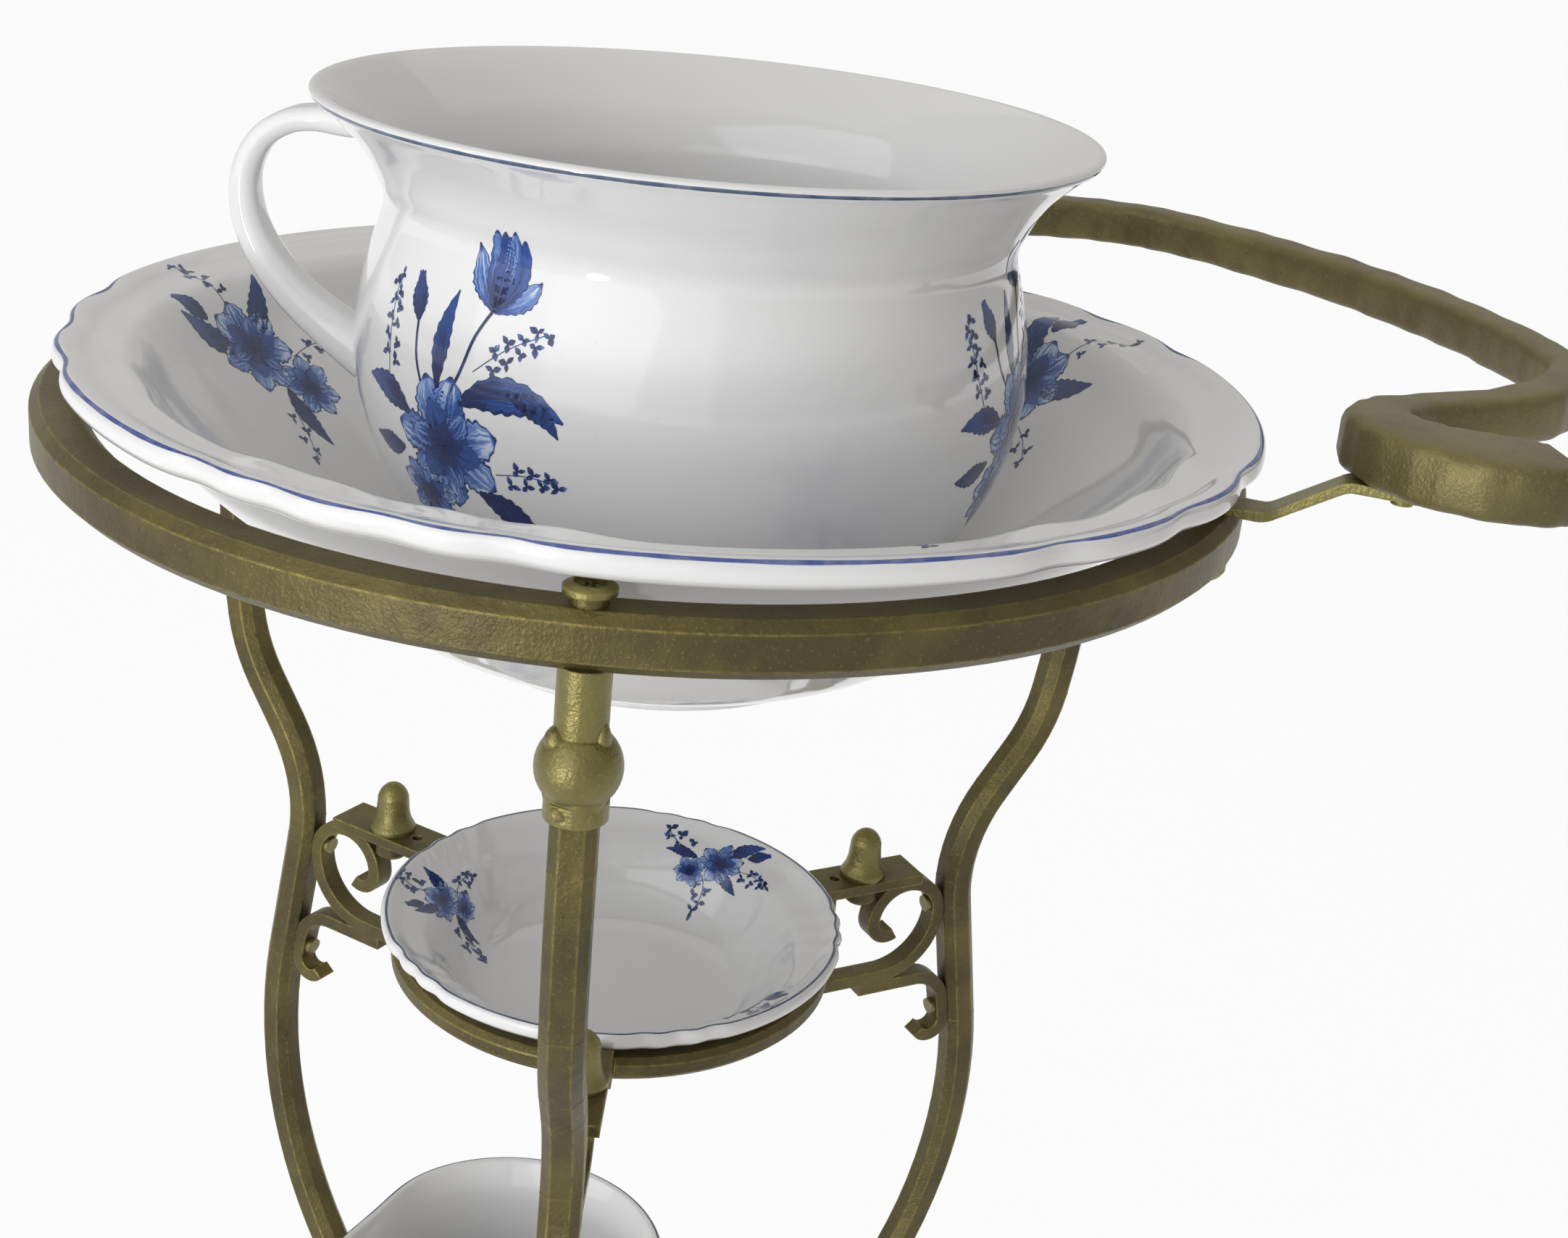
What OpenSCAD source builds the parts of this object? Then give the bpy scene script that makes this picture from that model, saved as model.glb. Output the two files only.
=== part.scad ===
// Iron wash basin stand with its basin, chamber pot, dish and jug.
// Sizes in mm, Z up, floor at Z = 0, the middle of the whole outline at X = Y = 0.
// The front leg stands at -90 degrees, the right one at 30 and the left one at 150.

/* [Node] */
// Which sub-part to show, or all of them

/* [Top ring] */
// Height of the top ring above the floor
stand_height = 783; // [770:1:820]
// Outside diameter of the top ring
ring_outer_d = 380; // [370:1:392]
// Width and height of the top ring's bar
ring_bar = 16; // [14:0.5:18]
// Chamfer on the corners of the ring's bar
ring_chamfer = 3; // [1.5:0.5:4]

/* [Legs] */
// Width and depth of a leg's bar
leg_bar = 12.5; // [11:0.5:14]
// Chamfer on the corners of a leg's bar
leg_chamfer = 3; // [1.5:0.5:3.5]
// Diameter of the tube between ring and knop
leg_tube_d = 14; // [12.5:0.5:15]
// Length of the tube between ring and knop
leg_tube_length = 19; // [14:0.5:26]
// Diameter of the turned knop
knop_d = 23; // [20:0.5:27]
// Height of the neck under the knop
knop_neck = 5; // [3:0.5:8]
// Diameter of the neck under the knop
knop_neck_d = 17; // [15:0.5:19]
// Depth of the knop's tenon in the leg
knop_tenon = 10; // [7:0.5:13]
// Straight length at the top of a leg
leg_lead = 15; // [10:1:20]
// Bend radius where a leg starts to lean in
lean_bend = 300; // [260:10:340]
// Angle that the leg's top bends through
lean = 10; // [7:0.5:12]
// Bend radius at the shoulder, both ways
shoulder_bend = 60; // [50:1:75]
// Steepest angle of the shoulder from upright
shoulder_slope = 36; // [30:1:40]
// Straight length across the shoulder
shoulder_straight = 18; // [10:1:24]
// Angle of the straight below the shoulder
hip_slope = 10; // [7:1:13]
// Length of the straight below the shoulder
hip_straight = 54; // [48:1:64]
// Bend radius of the outward belly
belly_bend = 180; // [165:1:195]
// Angle of the leg between belly and waist
belly_slope = 36; // [32:1:39]
// Straight length between belly and waist
belly_straight = 30; // [22:1:36]
// Bend radius at the waist
waist_bend = 125; // [112:1:138]
// Angle of the leg between waist and ankle
flare_slope = 40; // [35:1:44]
// Straight length between waist and ankle
flare_straight = 45; // [30:1:55]
// Bend radius at the ankle
ankle_bend = 120; // [100:1:140]
// Angle of the shin from upright
ankle_slope = 8; // [4:1:12]
// Diameter of a turned foot
foot_d = 30; // [24:1:36]
// Height of a turned foot
foot_height = 18; // [14:1:24]
// Diameter of the foot's pin in the leg
foot_pin_d = 7; // [5:0.5:8]
// Length of the foot's pin in the leg
foot_pin_length = 16; // [10:1:22]

/* [Ring screws] */
// Diameter of the screws through the ring
screw_d = 7; // [6:0.5:8]
// Diameter of their heads
screw_head_d = 14; // [12:0.5:15]
// Height of their heads
screw_head_height = 3.4; // [2.6:0.2:4.4]
// Diameter of the round recess in a head
screw_recess_d = 8.4; // [7.6:0.2:9.4]
// Depth of that recess
screw_recess = 1.4; // [1:0.2:1.8]
// Width of a screw's slot, also on the smaller screws
screw_slot = 1.6; // [1:0.2:2.2]
// Depth of the crossed slots in the recess
screw_slot_depth = 1.2; // [0.6:0.2:1.6]
// Diameter of the collar under a screw head
collar_d = 10; // [9.5:0.5:12]
// Height of the collar under a screw head
collar_height = 3; // [2:0.5:5]

/* [Dish ring] */
// Distance from a scroll's middle in to the middle of the dish ring's bar
dish_ring_reach = 40.6; // [39:0.2:43]
// Width of its bar
dish_ring_bar = 10; // [8:0.5:12]
// Height of its bar
dish_ring_height = 8; // [7:0.5:10]
// Chamfer on its corners
dish_ring_chamfer = 2; // [1:0.5:2.5]
// Width of a lug on the dish ring
lug_width = 17; // [14:0.5:20]
// Height of a lug's underside over the dish ring
lug_rise = 4; // [2.5:0.5:5]
// Gap between a lug and the dish's rim
lug_gap = 1.5; // [1:0.5:2.5]
// Thickness of a lug
lug_thickness = 4; // [3:0.5:5]
// How far a lug runs over the bracket's crown
lug_lap = 2; // [1:0.5:5]
// Diameter of the small hole in a lug
lug_hole_d = 4; // [2.5:0.5:5]
// Distance of a finial from its lug's end
finial_inset = 22; // [20:1:23]
// Diameter of a finial's base
finial_base_d = 17; // [15:0.5:18]
// Height of a finial
finial_height = 19; // [17:0.5:24]
// Diameter of a finial's stud
finial_stud_d = 6; // [5:0.5:7]
// Diameter of the nut on that stud
finial_nut_d = 12; // [10:0.5:14]
// Height of that nut
finial_nut_height = 7; // [4:0.5:9]

/* [Scroll brackets] */
// Thickness of a bracket's strip
scroll_strip = 5; // [4:0.5:6]
// Width of a bracket's strip
scroll_width = 7.5; // [6.5:0.5:10]
// Bend radius of the scroll beside the leg
scroll_bend = 24; // [21:0.5:27]
// Angle above level at which the scroll meets the leg
scroll_touch = 8; // [6:0.5:10]
// Bend radius of the scroll's eye
scroll_eye_bend = 6.5; // [6:0.5:8]
// Angle that the eye turns through
scroll_eye_turn = 120; // [90:5:150]
// Bend radius under the dish ring
scroll_foot_bend = 14; // [10:0.5:15]
// Length of the strip up to the dish ring
scroll_riser = 15; // [12:0.5:18]
// Bend radius of the stay under the scroll
stay_bend = 14; // [10:0.5:17]
// Length of the stay that lies on the leg
stay_flat = 9; // [7:0.5:12]
// Length of the stay that lies under the scroll
stay_lap = 8; // [6:0.5:11]
// How far the stay is forged into the scroll
forge_lap = 0.4; // [0.2:0.1:0.8]
// Bend radius of the stay's end hook
hook_bend = 6; // [5:0.5:8]
// Angle that the end hook turns through
hook_turn = 150; // [110:5:170]
// Diameter of a rivet
rivet_d = 3.5; // [3:0.5:4.5]
// Diameter of a rivet's head
rivet_head_d = 6.5; // [5.5:0.5:7.5]
// Height of a rivet's head
rivet_head_height = 2; // [1.5:0.5:3]
// Length of a rivet in the leg
rivet_depth = 7; // [4:0.5:8]

/* [Waist ring and jug shelf] */
// Width and height of the waist ring's bar
waist_bar = 12; // [10:0.5:14]
// Chamfer on its corners
waist_chamfer = 2; // [1:0.5:3]
// Thickness of the jug shelf
shelf_thickness = 4; // [3:0.5:6]
// How far the shelf stays inside the waist ring's edge
shelf_gap = 2; // [1.5:0.5:4]
// Diameter of the holes in the shelf
shelf_hole_d = 18; // [10:1:24]
// Number of holes in the shelf
shelf_holes = 6; // [4:1:8]
// Diameter of the screws through the legs
waist_screw_d = 6; // [4:0.5:7]
// Diameter of their heads
waist_screw_head_d = 11; // [10:0.5:13]
// Their length in the waist ring
waist_screw_bite = 9; // [6:0.5:10]
// Diameter of the screws into the shelf
shelf_screw_d = 4; // [3:0.5:5]
// Diameter of their heads
shelf_screw_head_d = 7.5; // [7:0.5:9]
// Height of their heads
shelf_screw_head_h = 2.5; // [2:0.5:3.5]
// Their length in the shelf
shelf_screw_bite = 2.4; // [1.5:0.1:2.6]

/* [Towel rail] */
// Width and height of the towel rail's bar
rail_bar = 16; // [14:0.5:18]
// Chamfer on its corners
rail_chamfer = 3; // [1.5:0.5:4]
// Distance from the ring's edge to the middle of the rail
rail_reach = 116; // [108:1:124]
// Height of the rail's underside over the ring
rail_lift = 17; // [12:1:26]
// Angle that the rail's long arc spans round the stand
rail_sweep = 47; // [44:1:52]
// Bend radius of the rail's elbows
rail_elbow_bend = 34; // [28:1:40]
// Angle that an elbow turns through
rail_elbow_turn = 66; // [60:1:70]
// Straight length from elbow to curl
rail_arm = 62; // [54:1:68]
// Bend radius of the end curls
rail_curl_bend = 32; // [30:1:36]
// Angle that a curl turns through
rail_curl_turn = 150; // [120:5:165]
// Straight length at a curl's tip
rail_tip = 14; // [8:1:20]
// Width of a strap
strap_width = 12; // [10:0.5:15]
// Thickness of a strap
strap_thickness = 3; // [2.5:0.5:4]
// Bend radius of the straps' cranks
strap_bend = 8; // [6:1:11]
// Flat length outside a strap's bolt and either side of its rivet
strap_lap = 13; // [12:0.5:16]
// Flat length from a strap's bolt to its end over the ring
strap_inset = 6.5; // [6:0.5:8]
// Distance of a strap's line from the middle of its curl
strap_offset = 24; // [20:0.5:28]
// Diameter of the bolts through ring and strap
strap_bolt_d = 6; // [5:0.5:7]
// Diameter of their heads
strap_bolt_head_d = 11; // [10:0.5:12]
// Height of their heads
strap_bolt_head_h = 2.4; // [2:0.2:3.4]
// Their length below the ring
strap_bolt_proud = 4; // [3:0.5:4.5]
// Diameter of the domed nuts
strap_nut_d = 13; // [11:0.5:14]
// Height of the domed nuts
strap_nut_height = 6.5; // [6:0.5:8]

/* [Basin] */
// How far the basin's rim stays inside the top ring's edge
basin_rim_inset = 1.5; // [0:0.5:4]
// Depth of the basin, foot ring included
basin_depth = 96; // [86:1:98]
// Thickness of the basin's wall
basin_wall = 6; // [5:0.5:7.5]
// Radius of the rolled lip
basin_roll = 4.6; // [4:0.2:5.6]
// Diameter of the basin's foot ring
basin_foot_d = 132; // [124:1:150]
// Height of the basin's foot ring
basin_foot_height = 7; // [5:0.5:10]
// How far the basin sits off the stand's axis
basin_shift = 5; // [0:0.5:6]
// Number of waved places round the rim
basin_lobes = 5; // [4:1:8]
// Number of waves in each of them
basin_waves = 3; // [1:1:3]
// Depth of a wave in the rim
basin_lobe_depth = 2.4; // [1.2:0.2:3.4]
// Angle between the waves of one place
basin_lobe_gap = 13; // [10:0.5:15]
// Direction of the middle of the first waved place
basin_turn = -108; // [-180:1:180]
// Diameter of the scoop that makes a wave
basin_scoop_d = 44; // [36:1:60]

/* [Chamber pot] */
// Diameter of the pot's rim
pot_rim_d = 242; // [234:1:250]
// Height of the pot up to its lip's roll
pot_height = 158; // [148:1:168]
// Diameter of the pot's belly
pot_belly_d = 212.6; // [206:0.2:218]
// Diameter of the pot's neck
pot_neck_d = 196.8; // [190:0.2:200]
// Diameter of the pot's foot
pot_foot_d = 112; // [100:1:120]
// Thickness of the pot's wall
pot_wall = 5; // [4:0.5:6.5]
// How far the pot stands off the basin's middle
pot_shift = 6.7; // [0:0.1:10]
// Width of the pot's handle
pot_handle_width = 15; // [12:0.5:18]
// Thickness of the pot's handle
pot_handle_thickness = 11; // [9:0.5:13]
// Bend radius at the handle's top
pot_handle_bend = 16; // [14:0.5:19]
// How far inside the lip's edge the handle's line starts
pot_handle_inset = 18; // [16:0.5:20]
// Straight length from there to the top bend
pot_handle_arm = 23; // [20:0.5:26]
// Upward angle of that length
pot_handle_rise = 3; // [0:1:8]
// Angle that the top bend turns through
pot_handle_turn = 88; // [84:1:92]
// Bend radius of the handle's back
pot_handle_back = 46; // [42:1:50]
// Angle that the back turns through
pot_handle_fall = 56; // [53:1:60]
// How deep the handle's line ends inside the belly's edge
pot_handle_sink = 6; // [4:0.5:9]

/* [Dish] */
// How far the dish's rim reaches out past the dish ring
dish_overhang = 4; // [2:0.5:6]
// Depth of the dish, foot ring included
dish_depth = 37; // [32:0.5:44]
// Thickness of the dish's wall
dish_wall = 3.6; // [3:0.1:4]
// Diameter of the dish's foot ring
dish_foot_d = 78; // [66:1:86]
// Height of the rim over the ring that it rests on
dish_rim_rise = 11; // [10:0.5:14]
// Height of the dish's foot ring
dish_foot_height = 3; // [2:0.5:5]
// Number of waved places round its rim
dish_lobes = 5; // [3:1:7]
// Number of waves in each of them
dish_waves = 3; // [1:1:4]
// Depth of a wave in the dish's rim
dish_lobe_depth = 1.4; // [0.8:0.2:1.8]
// Angle between the waves of one place
dish_lobe_gap = 8.5; // [7.5:0.5:11]
// Direction of the middle of the first waved place
dish_turn = -141; // [-180:1:180]
// Diameter of the scoop that makes a wave in the dish
dish_scoop_d = 24; // [18:1:30]

/* [Jug] */
// Height of the jug
jug_height = 152; // [140:1:160]
// How far the jug's belly stays inside the waist ring's edge
jug_belly_inset = 17; // [15:0.5:21]
// How far the jug's neck lies inside its belly
jug_neck_inset = 8; // [6:0.5:11]
// How far the jug's mouth flares out past its neck
jug_mouth_flare = 8; // [4:0.5:11]
// How far the jug's foot lies inside its belly
jug_foot_inset = 19; // [17:0.5:23]
// Thickness of the jug's wall
jug_wall = 4.5; // [3.5:0.5:6]
// How far the lip is pulled out
jug_spout = 16; // [10:1:20]
// Radius of the pulled lip at its top
jug_lip_r = 24; // [20:1:28]
// How far the jug stands off the stand's axis
jug_shift = 30; // [24:0.5:32]
// Diameter of the jug's handle
jug_handle_d = 11; // [9:0.5:13]
// Bend radius at the handle's top
jug_handle_bend = 22; // [18:0.5:25]
// Straight length from the neck to the top bend
jug_handle_arm = 12; // [9:0.5:15]
// Upward angle of that length
jug_handle_rise = 8; // [4:1:12]
// Angle that the top bend turns through
jug_handle_turn = 100; // [95:1:104]
// Bend radius of the handle's back
jug_handle_back = 66; // [60:1:72]
// Angle that the back turns through
jug_handle_fall = 38; // [34:1:42]
// How deep the handle's line ends inside the belly's edge
jug_handle_sink = 8; // [6:0.5:10]

/* [Clearances] */
// Gap round a bolt or screw in a plain hole
hole_clear = 0.3; // [0.2:0.05:0.5]
// Gap round a pin, rivet or thread in its own hole
fit_clear = 0.05; // [0.02:0.01:0.1]
// Gap under loose pottery
rest_gap = 0.3; // [0.25:0.05:0.5]

/* [Hidden] */
$fn = 96;
leg_azimuth = [-90, 30, 150];
half_gap = 60;  // from a leg round to the middle between two legs
rail_azimuth = 30;
jug_way = 210;
cut = 1;        // how far a cutter runs past the face that it cuts
lap = 0.5;      // how far two shapes of one piece run into each other
end_gap = 0.5;  // the space at the end of a blind hole
weld_scale = 1.012; // how much thicker a bar is over a weld

// ---- derived heights and radii ----
ring_top = stand_height;
ring_bottom = ring_top - ring_bar;
ring_mid_r = (ring_outer_d - ring_bar) / 2;
ring_inner_r = ring_outer_d / 2 - ring_bar;
knop_half = sqrt(pow(knop_d / 2, 2) - pow(leg_tube_d / 2, 2));
knop_z = ring_bottom - leg_tube_length - knop_half;
leg_top = knop_z - knop_half - knop_neck;
leg_half = leg_bar / 2;

// ---- bar paths: each step is [length, 0] for a straight or [radius, turn] for a bend ----
function step_end(p, h, s) = s[1] == 0
  ? p + s[0] * [cos(h), sin(h)]
  : let (k = sign(s[1]))
    p + k * s[0] * [-sin(h), cos(h)] + k * s[0] * [sin(h + s[1]), -cos(h + s[1])];
// the position and heading after the first n steps
function path_at(s, n, p, h, i = 0) = i == n
  ? [p[0], p[1], h]
  : path_at(s, n, step_end(p, h, s[i]), h + s[i][1], i + 1);

module bar_path(s, i = 0) {
  if (i < len(s)) {
    size = s[i][0];
    turn = s[i][1];
    k = turn < 0 ? -1 : 1;
    // a short, slightly thicker weld over each joint makes one bar of the lengths that meet there
    if (i > 0) translate([-lap / 2, 0, 0]) rotate([90, 0, 90])
      linear_extrude(lap) scale(weld_scale) children();
    if (turn == 0) {
      rotate([90, 0, 90]) linear_extrude(size) children();
      translate([size, 0, 0]) bar_path(s, i + 1) children();
    } else {
      mirror([0, k < 0 ? 1 : 0, 0])
        translate([0, size, 0]) rotate(-90)
          rotate_extrude(angle = abs(turn)) translate([size, 0]) children();
      translate([0, k * size, 0]) rotate(turn) translate([0, -k * size, 0])
        bar_path(s, i + 1) children();
    }
  }
}

// stands a path drawn in (radius, height) up in the plane of an azimuth
module at_leg(a) { rotate(a) children(); }
module upright(p, h) {
  rotate([90, 0, 0]) translate([p[0], p[1], 0]) rotate(h) children();
}

module chamfered(w, h, c) {
  polygon([[-w / 2 + c, -h / 2], [w / 2 - c, -h / 2], [w / 2, -h / 2 + c], [w / 2, h / 2 - c],
           [w / 2 - c, h / 2], [-w / 2 + c, h / 2], [-w / 2, h / 2 - c], [-w / 2, -h / 2 + c]]);
}

module rod(d, z0, z1) { translate([0, 0, z0]) cylinder(d = d, h = z1 - z0); }
// a rod along the local radius at a height, from r0 to r1
module radial_rod(d, r0, r1, z) { translate([r0, 0, z]) rotate([0, 90, 0]) cylinder(d = d, h = r1 - r0); }

// ---- the leg's line, heading down from under the knop ----
downward = -90; // the heading of a line that sets off straight down
leg_upper = [
  [leg_lead, 0],
  [lean_bend, -lean],
  [shoulder_bend, -(shoulder_slope - lean)],
  [shoulder_straight, 0],
  [shoulder_bend, shoulder_slope],
  [shoulder_bend, hip_slope],
  [hip_straight, 0],
  [belly_bend, -(hip_slope + belly_slope)],
  [belly_straight, 0],
  [waist_bend, belly_slope],
  [waist_bend, flare_slope],
  [flare_straight, 0],
  [ankle_bend, -(flare_slope - ankle_slope)]
];
neck_step = 5;   // the innermost point of the upper curve comes after this many steps
hip_step = 6;    // the straight below it starts here
waist_step = 10; // the waist comes after this many steps
leg_start = [ring_mid_r, leg_top];
leg_neck = path_at(leg_upper, neck_step, leg_start, downward);
leg_hip = path_at(leg_upper, hip_step, leg_start, downward);
leg_waist = path_at(leg_upper, waist_step, leg_start, downward);
leg_ankle = path_at(leg_upper, len(leg_upper), leg_start, downward);
shin_length = (leg_ankle[1] - foot_height) / cos(ankle_slope);
leg_end = path_at(concat(leg_upper, [[shin_length, 0]]), len(leg_upper) + 1, leg_start, downward);
leg_line = concat(leg_upper, [[shin_length + leg_half, 0]]);

// ---- scroll bracket, drawn in the leg's plane: it touches the leg's inner face on a tangent ----
shoulder_centre = [leg_neck[0] + shoulder_bend, leg_neck[1]];
touch_reach = shoulder_bend + leg_half + scroll_bend + scroll_strip / 2;
scroll_centre = shoulder_centre - touch_reach * [cos(scroll_touch), sin(scroll_touch)];
scroll_low = scroll_centre[1] - scroll_bend;
dish_ring_mid_r = scroll_centre[0] - dish_ring_reach;
dish_ring_bottom = scroll_low + scroll_foot_bend + scroll_riser;
dish_ring_top = dish_ring_bottom + dish_ring_height;
lug_bottom = dish_ring_top + lug_rise;
lug_top = lug_bottom + lug_thickness;
scroll_crown_bend = lug_bottom - scroll_centre[1] - scroll_strip / 2;
crown_r = scroll_centre[0] + scroll_bend - scroll_crown_bend;
lug_end = crown_r + lug_lap;
finial_r = lug_end - finial_inset;
scroll_start = [dish_ring_mid_r, dish_ring_bottom];
scroll_line = [
  [dish_ring_bottom - scroll_low - scroll_foot_bend, 0],
  [scroll_foot_bend, 90],
  [scroll_centre[0] - dish_ring_mid_r - scroll_foot_bend, 0],
  [scroll_bend, 90],
  [scroll_crown_bend, 180],
  [scroll_eye_bend, scroll_eye_turn]
];
// the stay runs under the scroll, lies flat on the leg and ends in a small hook
leg_down = [cos(leg_hip[2]), sin(leg_hip[2])];
leg_in = [sin(leg_hip[2]), -cos(leg_hip[2])];
stay_z = scroll_low - scroll_strip + forge_lap;
stay_turn = 90 - hip_slope;
stay_top_z = stay_z - stay_bend * (1 - cos(stay_turn));
stay_side = leg_hip + (leg_half + scroll_strip / 2) * [leg_in[0], leg_in[1], 0];
stay_along = (stay_side[1] - stay_top_z) / -leg_down[1];
stay_top = [stay_side[0] + stay_along * leg_down[0], stay_top_z];
stay_start = [scroll_centre[0] - stay_lap, stay_z];
stay_line = [
  [stay_top[0] - stay_bend * sin(stay_turn) - stay_start[0], 0],
  [stay_bend, -stay_turn],
  [stay_flat, 0],
  [hook_bend, -hook_turn]
];
touch_z = shoulder_centre[1] - (shoulder_bend + leg_half) * sin(scroll_touch);
touch_r = shoulder_centre[0] - (shoulder_bend + leg_half) * cos(scroll_touch);
stay_rivet = [stay_top[0] + stay_flat / 2 * leg_down[0], stay_top[1] + stay_flat / 2 * leg_down[1]];

// ---- waist ring and shelf ----
waist_ring_r = leg_waist[0] - leg_half;
waist_z = leg_waist[1];
shelf_z = waist_z + waist_bar / 2;
shelf_top = shelf_z + shelf_thickness;
shelf_r = waist_ring_r - shelf_gap;
waist_mid_r = waist_ring_r - waist_bar / 2;

// ---- towel rail ----
rail_r = ring_outer_d / 2 + rail_reach;
rail_z = ring_top + rail_lift + rail_bar / 2;
rail_half_line = [
  [rail_r, -rail_sweep / 2],
  [rail_elbow_bend, -rail_elbow_turn],
  [rail_arm, 0],
  [rail_curl_bend, rail_curl_turn],
  [rail_tip, 0]
];
strap_seat = [ring_mid_r, ring_top + strap_thickness / 2];
curl_start = path_at(rail_half_line, 3, [rail_r, 0], downward);
curl_centre = [curl_start[0] - rail_curl_bend * sin(curl_start[2]),
               curl_start[1] + rail_curl_bend * cos(curl_start[2])];
// each strap's angle from the middle of the rail follows its curl
strap_half_angle = round(100 * (atan2(-curl_centre[1], curl_centre[0])
                                + asin(strap_offset / norm(curl_centre)))) / 100;
// the strap's rivet sits where the strap's line passes nearest to the middle of the curl
strap_dir = [cos(-strap_half_angle), sin(-strap_half_angle)];
curl_along = curl_centre * strap_dir;
curl_off = norm(curl_centre - curl_along * strap_dir);
strap_rivet_r = curl_along - (curl_off < rail_curl_bend
  ? sqrt(pow(rail_curl_bend, 2) - pow(curl_off, 2)) : 0);
strap_run = strap_rivet_r - ring_mid_r - 2 * strap_lap;
strap_rise = rail_lift - strap_thickness;
strap_span = norm([strap_run, strap_rise - 2 * strap_bend]);
strap_slope = round(100 * (atan2(strap_rise - 2 * strap_bend, strap_run)
                           + asin(2 * strap_bend / strap_span))) / 100;
strap_straight = sqrt(pow(strap_span, 2) - pow(2 * strap_bend, 2));
strap_line = [
  [strap_inset + strap_lap, 0],
  [strap_bend, strap_slope],
  [strap_straight, 0],
  [strap_bend, -strap_slope],
  [2 * strap_lap, 0]
];

// ---- pottery profiles ----
function unit(v) = v / norm(v);
function curve(p, n = 5) = [
  for (i = [0 : len(p) - 2])
    let (a = p[max(i - 1, 0)], b = p[i], c = p[i + 1], d = p[min(i + 2, len(p) - 1)])
      for (j = [0 : n - 1 + (i == len(p) - 2 ? 1 : 0)])
        let (t = j / n)
          0.5 * (2 * b + (c - a) * t + (2 * a - 5 * b + 4 * c - d) * t * t
                 + (3 * b - a - 3 * c + d) * t * t * t)];
function inward(p, t) = [
  for (i = [0 : len(p) - 1])
    let (d = unit(p[min(i + 1, len(p) - 1)] - p[max(i - 1, 0)]))
      p[i] + t * [-d[1], d[0]]];
// a handle's line: the given steps, then straight on until it is r from the axis
function handle_line(s, p, h, r) =
  let (e = path_at(s, len(s), p, h)) concat(s, [[(e[0] - r) / -cos(e[2]), 0]]);
function turned(p) = [for (i = [len(p) - 1 : -1 : 0]) p[i]];
// a bowl whose outside runs from the foot to the lip, with an even wall
module bowl(outside, wall) {
  outer = curve(outside);
  inner = inward(outer, wall);
  tip = (outer[len(outer) - 1] + inner[len(inner) - 1]) / 2
        + wall / 2 * unit(outer[len(outer) - 1] - outer[len(outer) - 2]);
  rotate_extrude()
    polygon(concat([[0, outer[0][1]]], outer, [tip], turned(inner), [[0, inner[0][1]]]));
}

screw_seat = ring_top + collar_height;
screw_top = screw_seat + screw_head_height;
basin_under = screw_top + rest_gap;
basin_rim_r = ring_outer_d / 2 - basin_rim_inset;
basin_top = basin_under + 2 * basin_roll;
basin_bottom = basin_top - basin_depth;
basin_floor = basin_bottom + basin_foot_height + basin_wall;
basin_throat_r = ring_inner_r - basin_shift - 2 * hole_clear;
pot_bottom = basin_floor + rest_gap;
pot_top = pot_bottom + pot_height;
pot_x = basin_shift + pot_shift;
dish_rest_r = dish_ring_mid_r - dish_ring_bar / 2;
dish_rim_r = dish_ring_mid_r + dish_ring_bar / 2 + dish_overhang;
// a lug stands on a root that rises outside the dish's rim
lug_start = dish_rim_r + lug_gap;
lug_root_end = lug_start + lug_thickness;
lug_hole_r = (lug_root_end + finial_r - finial_base_d / 2) / 2;
dish_seat_z = dish_ring_top + rest_gap;
jug_bottom = shelf_top + rest_gap;
jug_top = jug_bottom + jug_height;
jug_belly_r = waist_ring_r - jug_belly_inset;
jug_neck_r = jug_belly_r - jug_neck_inset;
jug_mouth_r = jug_neck_r + jug_mouth_flare;
jug_foot_r = jug_belly_r - jug_foot_inset;
jug_centre = -jug_shift;

// ---- the stand is drawn around its own axis, then set with the middle of its outline at the origin ----
// the rail reaches furthest east at an elbow and furthest north at the tip of its rear curl
rail_end = path_at(rail_half_line, len(rail_half_line), [rail_r, 0], downward);
outline_east = (rail_r - rail_elbow_bend) * cos(rail_azimuth - rail_sweep / 2)
               + rail_elbow_bend + rail_bar / 2;
outline_north = sin(rail_azimuth) * rail_end[0] - cos(rail_azimuth) * rail_end[1]
                + rail_bar / 2 * abs(cos(rail_azimuth - rail_end[2]));
outline_west = -ring_outer_d / 2;
outline_south = -max(ring_outer_d / 2, leg_end[0] + foot_d / 2);
module placed() {
  translate([-(outline_east + outline_west) / 2, -(outline_north + outline_south) / 2, 0]) children();
}

module each_leg() { placed() for (a = leg_azimuth) at_leg(a) children(); }

// ======== stand ========
module top_ring() {
  color([0.55, 0.5, 0.3]) placed() difference() {
    translate([0, 0, ring_bottom + ring_bar / 2])
      rotate_extrude($fn = 180) translate([ring_mid_r, 0]) chamfered(ring_bar, ring_bar, ring_chamfer);
    for (a = leg_azimuth) at_leg(a) translate([ring_mid_r, 0, 0])
      rod(screw_d + 2 * hole_clear, ring_bottom - cut, ring_top + cut);
    for (s = [-1, 1]) rotate(rail_azimuth + s * strap_half_angle) translate([ring_mid_r, 0, 0])
      rod(strap_bolt_d + 2 * hole_clear, ring_bottom - cut, ring_top + cut);
  }
}

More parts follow.
